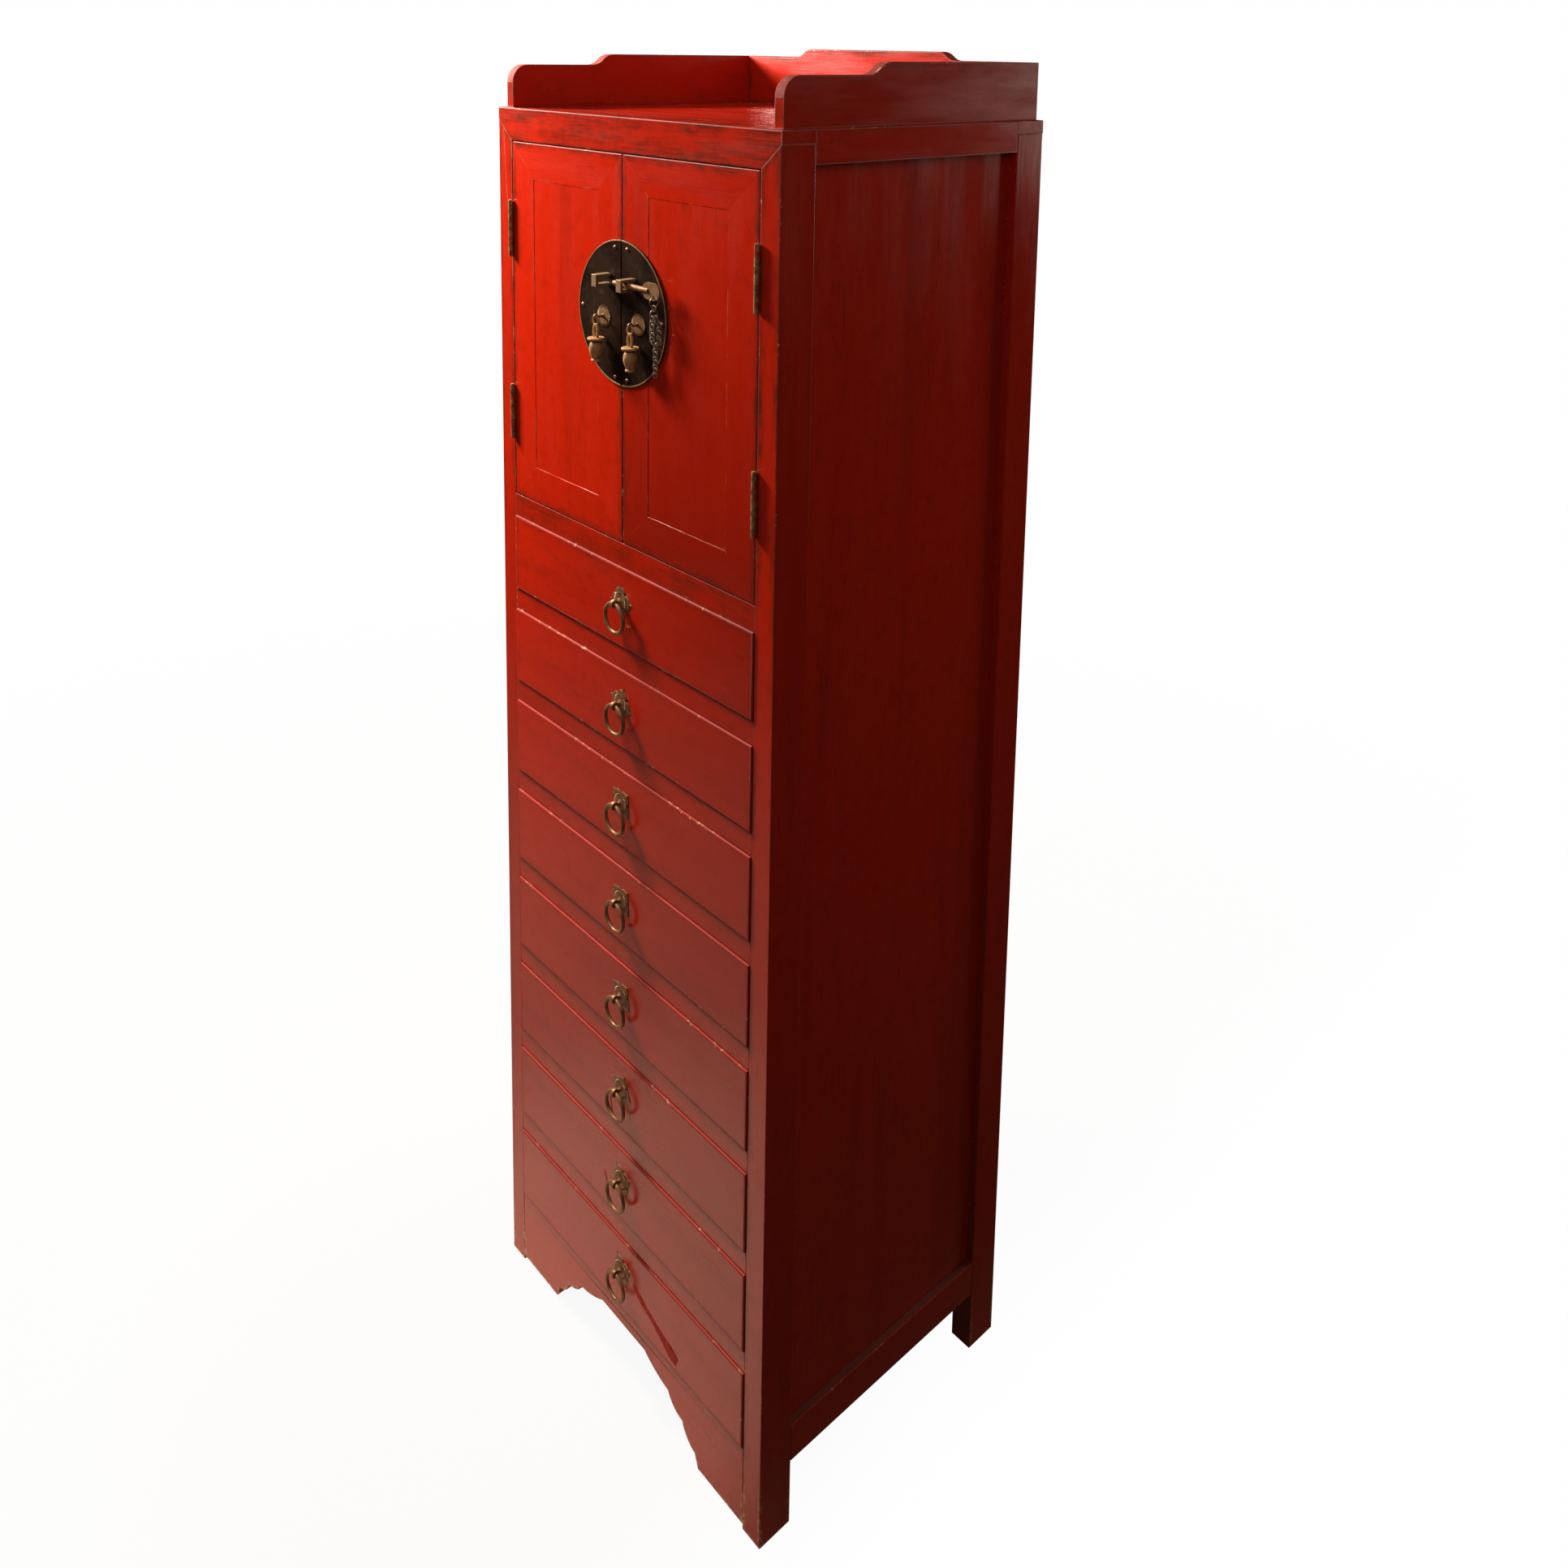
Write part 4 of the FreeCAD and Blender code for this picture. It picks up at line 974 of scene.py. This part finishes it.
def smoothPath(points, steps):
    # rounded line through the points
    made, last = [], len(points) - 1
    for i in range(last):
        a, b, c, d = (Vector(points[max(0, min(last, i + k))]) for k in (-1, 0, 1, 2))
        for s in range(steps):
            t = s / steps
            bend = (2 * a - 5 * b + 4 * c - d) * t ** 2 + (3 * b - a - 3 * c + d) * t ** 3
            made.append(tuple(0.5 * (2 * b + (c - a) * t + bend)))
    made.append(tuple(points[-1]))
    return made


# serrated disc, used behind the drawer eyes and the pendants; levels are shares of its radius and thickness
discLook = {"perTooth": 6, "bite": 0.7 * mm, "wall": 0.35, "fluteRims": (0.97, 0.84), "flute": (0.62, 0.22),
            "dome": ((0.80, 0.86), (0.5, 0.97), (0.15, 1))}


def serratedDisc(bm, matrix, radius, thick, teeth):
    d = discLook
    steps = teeth * d["perTooth"]
    outline = []
    for i in range(steps):
        turn = 2 * math.pi * i / steps
        reach = radius - d["bite"] * (0.5 + 0.5 * math.cos(turn * teeth))
        outline.append((reach * math.cos(turn), reach * math.sin(turn)))

    def flute(i):
        middle, swing = d["flute"]
        return thick * (middle - swing * math.cos(2 * math.pi * i / d["perTooth"]))

    wall = [(1, 0), (1, thick * d["wall"])]
    rims = [(rim, flute) for rim in d["fluteRims"]]
    slab(bm, matrix, outline, wall + rims + [(scale, thick * level) for scale, level in d["dome"]])


# eye whose bore runs across, on a stem from the disc; the foot is in stem widths and mm
eyeLook = {"ringSteps": 36, "squareness": 0.6, "foot": ((1.7, -0.2), (1.6, 0.3), (1.05, 1.0)), "neck": 0.95,
           "stemSteps": 24}


def eyelet(bm, x, y, z, disc, size):
    outer, bore, stem = size["eyeOuter"], size["eyeBore"], size["stem"]
    middle, wall = (outer + bore) / 2, (outer - bore) / 2
    sweep(bm, sideways(x, y, z), circle(middle, eyeLook["ringSteps"]), wall, size["eyeWidth"] / 2,
          squareness=eyeLook["squareness"])
    foot = [(stem * share, level * mm) for share, level in eyeLook["foot"]]
    neck = (stem * eyeLook["neck"], disc - y - bore - wall)
    lathe(bm, facing(x, disc, z), foot + [neck], eyeLook["stemSteps"])


# drawer pulls: four petals, a serrated disc, an eye and a hanging ring; each plate sits a little askew
pullLook = {"petalTurn": (-4, 16, 43, 40, 36, 20, -30, -27), "petalThick": 1.2 * mm, "petalSteps": 5,
            "petal": ((5.6, 5.6), (8.0, 8.2), (8.2, 11.6), (5.9, 14.6), (2.9, 16.4), (1.0, 17.9),
                      (0.0, 20.0)),
            "petalLevels": ((1, 0), (1, 0.45), (0.95, 0.8), (0.8, 1), (0.3, 1)),
            "discRadius": 11 * mm, "discThick": 1.2 * mm, "teeth": 40, "eyeOuter": 5.0 * mm,
            "eyeBore": 2.8 * mm, "eyeWidth": 4.4 * mm, "stem": 2.6 * mm, "ringRadius": 16.7 * mm,
            "ringWire": 2.3 * mm, "ringSteps": 72, "ringSides": 18}


def petalOutline(p):
    side = smoothPath([(x * mm, y * mm) for x, y in p["petal"]], p["petalSteps"])
    lobe = side + [(-x, y) for x, y in side[-2:0:-1]]
    outline = []
    for quarter in range(4):
        c, s = math.cos(math.radians(90 * quarter)), math.sin(math.radians(90 * quarter))
        outline += [(x * c - y * s, x * s + y * c) for x, y in lobe]
    return outline


def makePull(number, p):
    low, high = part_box("drawer_%d_ring" % number)
    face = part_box("drawer_%d_front" % number)[0].y
    x, y, z = (low.x + high.x) / 2, (low.y + high.y) / 2, high.z - p["ringWire"]
    thick = p["petalThick"]
    bm = bmesh.new()
    slab(bm, facing(x, face, z, -p["petalTurn"][number - 1]), petalOutline(p),
         [(scale, thick * level) for scale, level in p["petalLevels"]])
    serratedDisc(bm, facing(x, face - thick, z), p["discRadius"], p["discThick"], p["teeth"])
    eyelet(bm, x, y, z, face - thick - p["discThick"], p)
    node = "drawer_%d_pull" % number
    addPiece(node + ".brass", bm, bodyOf[node], "antique_brass", brasses["agedBrass"], node)
    bm = bmesh.new()
    sweep(bm, facing(x, y, z - p["ringRadius"]), circle(p["ringRadius"], p["ringSteps"]), p["ringWire"],
          p["ringWire"], p["ringSides"])
    node = "drawer_%d_ring" % number
    addPiece(node + ".brass", bm, bodyOf[node], "antique_brass", brasses["agedBrass"], node)


for number in drawerNumbers:
    makePull(number, pullLook)
print("pulls made")

# marks of age: runs in the lacquer of drawers 6 and 7 and a split in the left front post, and a deeper red
# streak from the ring of drawer 8 down to the right;
# a path gives across and up in mm, and for a lacquer mark also half its width
markLook = {"rise": 0.3 * mm, "sides": 16, "steps": 6, "tone": 1.0, "clear": 20 * mm,
           "path": {8: ((24, 4, 3.0), (38, -4, 5.4), (58, -13, 4.2), (80, -22, 6.0), (97, -29, 9.0),
                        (108, -33, 6.4)),
                    7: ((-34, -4, 1.6), (-30, -14, 1.3), (-28, -24, 2.4), (-27, -28, 1.8)),
                    6: ((-22, -16, 1.4), (-20, -26, 1.2), (-19, -34, 2.3), (-19, -37, 1.6))}}
splitLook = {"width": 0.35 * mm, "rise": 0.12 * mm, "sides": 8, "steps": 8, "tone": 0.2, "clear": 20 * mm,
             "path": ((-239.0, 1497), (-237.6, 1478), (-236.2, 1455), (-234.6, 1432), (-232.2, 1410),
                      (-231.6, 1402))}


def evenBoard(bm, look):
    # marks that lie on a board take its grain, without edges of their own
    layer = boardLayers(bm)
    for vert in bm.verts:
        vert[layer["edgeDist"]], vert[layer["tone"]] = look["clear"], look["tone"]
        vert[layer["woodCoord"]] = (vert.co.x, vert.co.z, vert.co.y)


def makeMark(number, look):
    low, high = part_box("drawer_%d_front" % number)
    line = smoothPath([tuple(v * mm for v in point) for point in look["path"][number]], look["steps"])
    bm = bmesh.new()
    sweep(bm, facing(0, low.y, (low.z + high.z) / 2), [(x, z) for x, z, half in line],
          [half for x, z, half in line], look["rise"], look["sides"], False)
    evenBoard(bm, look)
    addPiece("drawer_%d_run" % number, bm, "drawer_%d" % number, "red_lacquer", markLacquer)


def makeSplit(look):
    bm = bmesh.new()
    line = smoothPath([(x * mm, z * mm) for x, z in look["path"]], look["steps"])
    sweep(bm, facing(0, frontFace, 0), line, look["width"], look["rise"], look["sides"], False)
    evenBoard(bm, look)
    addPiece("front_left_post_split", bm, "carcase", "bare_wood", bareWood)


for number in markLook["path"]:
    makeMark(number, markLook)
makeSplit(splitLook)
print("runs and split laid on")

# vase drops: a loop, a yoke and a turned vase, whose profile gives radius and height in mm
pendantLook = {"wire": 1.2 * mm, "loop": 4.6 * mm, "loopSteps": 32, "yokeTop": -8.4 * mm,
               "yokeFoot": -23.2 * mm, "yokeHalf": 3.6 * mm, "yokeSteps": 40, "strap": 1.7 * mm,
               "strapWide": 0.8, "squareness": 0.8,
               "profile": ((0, -48.7), (4.9, -48.7), (5.4, -48.2), (5.4, -47.0), (5.0, -46.3), (4.3, -46.0),
                           (4.9, -44.6), (6.6, -41.0), (7.6, -37.0), (7.5, -33.0), (6.6, -29.4), (5.5, -28.0),
                           (4.9, -27.4), (4.9, -26.2), (6.4, -25.9), (9.1, -25.2), (9.5, -24.4), (9.4, -23.1),
                           (8.9, -22.7), (0, -22.7))}


def pendantEye(side):
    low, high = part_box(side + "_pendant")
    return (low.x + high.x) / 2, (low.y + high.y) / 2, high.z - pendantLook["wire"]


def makePendant(side, p):
    x, y, z = pendantEye(side)
    bm = bmesh.new()
    sweep(bm, facing(x, y, z - p["loop"]), circle(p["loop"], p["loopSteps"]), p["wire"], p["wire"])
    rise = (p["yokeTop"] - p["yokeFoot"]) / 2
    yoke = circle(p["yokeHalf"], p["yokeSteps"], tall=rise / p["yokeHalf"])
    sweep(bm, facing(x, y, z + p["yokeTop"] - rise), yoke, p["strap"] * p["strapWide"], p["strap"],
          squareness=p["squareness"])
    lathe(bm, Matrix.Translation((x, y, z)), [(r * mm, level * mm) for r, level in p["profile"]])
    node = side + "_pendant"
    addPiece(node + ".brass", bm, bodyOf[node], "antique_brass", brasses["pendantBrass"], node)


# lock: round plate in two halves, a bead round it, staples, nails and rosettes with eyes
lockLook = {"radius": 80 * mm, "gap": 1 * mm, "thick": 1.5 * mm, "arcSteps": 90, "straightSteps": 24,
            "levels": ((1, 0), (1, 0.7), (0.992, 1), (0.6, 1), (0.2, 1)), "middle": 0.42,
            "bead": 0.9 * mm, "beadRise": 0.6, "beadInset": 1.3, "beadSides": 8,
            "nailRadius": 2.2 * mm, "nailRing": 72 * mm, "nailInset": 11 * mm, "nailSteps": 20,
            "nail": ((1, -0.1), (1, 0.3), (0.85, 0.9), (0.5, 1.5), (0, 1.7)),
            "stapleAcross": 22.5 * mm, "stapleUp": 35 * mm, "stapleWidth": 9 * mm, "stapleReach": 20 * mm,
            "stapleHeight": 13.5 * mm, "stapleStrap": 3.3 * mm, "stapleEase": 0.6 * mm, "stapleSteps": 3,
            "rosetteRadius": 12 * mm, "rosetteThick": 1.4 * mm, "rosetteTeeth": 44, "eyeOuter": 3.4 * mm,
            "eyeBore": 1.7 * mm, "eyeWidth": 2.6 * mm, "stem": 1.5 * mm}


def addStaple(bm, across, face, up, k):
    # a square strap bent twice, its two ends on the plate
    half, strap, tip = k["stapleHeight"] / 2, k["stapleStrap"], face - k["stapleReach"]
    left = across - k["stapleWidth"] / 2
    outline = [(face, -half), (tip, -half), (tip, half), (face, half), (face, half - strap),
               (tip + strap, half - strap), (tip + strap, strap - half), (face, strap - half)]
    staple = bmesh.new()
    addPrism(staple, [(y, up + z) for y, z in outline], 0, left, left + k["stapleWidth"])
    bevel(staple, list(staple.edges), k["stapleEase"], k["stapleSteps"])
    loose = bpy.data.meshes.new("staple")
    staple.to_mesh(loose)
    staple.free()
    bm.from_mesh(loose)


def makeLockPlate(side, k):
    sign = -1 if side == "left" else 1
    node, body = side + "_lock_plate", bodyOf[side + "_lock_plate"]
    low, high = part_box(node)
    middle, back = (low.z + high.z) / 2, high.y
    span = math.acos(k["gap"] / k["radius"])
    turns = [span * (2 * i / k["arcSteps"] - 1) for i in range(k["arcSteps"] + 1)]
    arc = [(sign * k["radius"] * math.cos(a), k["radius"] * math.sin(a)) for a in turns]
    if sign < 0:
        arc.reverse()
    start, end = arc[-1][1], arc[0][1]
    shares = [i / k["straightSteps"] for i in range(1, k["straightSteps"])]
    straight = [(sign * k["gap"], start + (end - start) * share) for share in shares]
    bm = bmesh.new()
    slab(bm, facing(0, back, middle), arc + straight,
         [(scale, k["thick"] * level) for scale, level in k["levels"]], sign * k["radius"] * k["middle"])
    addPiece(node + ".bronze", bm, body, "dark_bronze", plateBronze, node)

    face = back - k["thick"]
    trim = 1 - k["beadInset"] * k["bead"] / k["radius"]
    x, y, z = pendantEye(side)
    bm = bmesh.new()
    sweep(bm, facing(0, face, middle), [(x * trim, y * trim) for x, y in arc], k["bead"],
          k["bead"] * k["beadRise"], k["beadSides"], False)
    addStaple(bm, sign * k["stapleAcross"], face, middle + k["stapleUp"], k)
    serratedDisc(bm, facing(x, face, z), k["rosetteRadius"], k["rosetteThick"], k["rosetteTeeth"])
    eyelet(bm, x, y, z, face - k["rosetteThick"], k)
    addPiece(side + "_lock_fittings", bm, body, "antique_brass", brasses["lockBrass"])

    nailUp = math.sqrt(k["nailRing"] ** 2 - k["nailInset"] ** 2)
    nail = [(k["nailRadius"] * share, level * mm) for share, level in k["nail"]]
    bm = bmesh.new()
    for across, up in ((k["nailInset"], nailUp), (k["nailRing"], 0), (k["nailInset"], -nailUp)):
        lathe(bm, facing(sign * across, face, middle + up), nail, k["nailSteps"])
    addPiece(side + "_lock_nails", bm, body, "antique_brass", brasses["copper"])


for side in ("left", "right"):
    makeLockPlate(side, lockLook)
    makePendant(side, pendantLook)

# lock bar and hinges keep the CAD shape, with their edges eased
barLook = {"ease": 0.45 * mm, "hingeEase": 0.12 * mm, "steps": 2, "sharpAngle": math.radians(50)}


def metalFromCad(node, material, ease):
    bm = cadSolid(node)
    sharp = [e for e in bm.edges if len(e.link_faces) == 2 and e.calc_face_angle(0) > barLook["sharpAngle"]]
    bevel(bm, sharp, ease, barLook["steps"])
    addPiece(node + ".metal", bm, bodyOf[node], "antique_brass", material, node)


metalFromCad("lock_bar", brasses["lockBrass"], barLook["ease"])
for node in ("hinge_frame_leaves", "left_hinge_leaves", "right_hinge_leaves"):
    metalFromCad(node, hingeMetal, barLook["hingeEase"])

# chain: a ring in the paddle, a link, a ring that gathers a loop of chain and a strand before it, a loose end
chainLook = {"ringRadius": 5.2 * mm, "gatherRadius": 4.7 * mm, "ringWire": 0.8 * mm, "ringSteps": 40,
             "ringSides": 10, "linkRadius": 3 * mm, "linkWire": 0.7 * mm, "linkSteps": 24, "linkSides": 8,
             "play": 0.3 * mm, "strandGap": 4.4 * mm, "loopLinks": 5, "innerLinks": 6, "tailLinks": 7,
             "lean": 45}


def makeChain(c):
    low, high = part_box("lock_chain")
    radius, wire, gap = c["linkRadius"], c["linkWire"], c["strandGap"] / 2
    slack = wire + c["ringWire"] + c["play"]
    pitch = 2 * (radius - wire) - c["play"]
    step = pitch * math.sin(math.radians(c["lean"]))  # along and down a slanted link
    x, y, top = (low.x + high.x) / 2, (low.y + high.y) / 2, high.z - c["ringWire"] - c["ringRadius"]
    first = top - c["ringRadius"] - radius + slack
    gather = first - radius - c["gatherRadius"] + slack
    start = gather - math.sqrt((c["gatherRadius"] - slack) ** 2 - gap ** 2) - radius
    bottom = start - 4 * step - (c["loopLinks"] - 1) * pitch
    bm = bmesh.new()

    def link(turned):
        sweep(bm, turned, circle(radius, c["linkSteps"]), wire, wire, c["linkSides"])

    def strand(count, across, out, down):
        for i in range(count):
            level = down - i * pitch
            link(sideways(across, out, level) if i % 2 else facing(across, out, level))

    def slanted(across, level, lean):
        turn = Matrix.Rotation(math.radians(lean), 4, "Y")
        link(Matrix.Translation((across, y + gap, level)) @ turn @ sideways(0, 0, 0))

    for ring, level in (("ringRadius", top), ("gatherRadius", gather)):
        sweep(bm, sideways(x, y, level), circle(c[ring], c["ringSteps"]), c["ringWire"], c["ringWire"],
              c["ringSides"])
    strand(1, x, y, first)
    strand(1, x, y + gap, start)
    for side in (-1, 1):
        slanted(x + side * step, start - step, -c["lean"] * side)
        strand(c["loopLinks"], x + 2 * side * step, y + gap, start - 2 * step)
        slanted(x + side * step, bottom + step, c["lean"] * side)
    strand(1 + c["tailLinks"], x, y + gap, bottom)
    strand(c["innerLinks"], x, y - gap, start)
    node = "lock_chain"
    addPiece(node + ".links", bm, bodyOf[node], "antique_brass", brasses["chainMetal"], node)


makeChain(chainLook)
print("lock and hinges made")
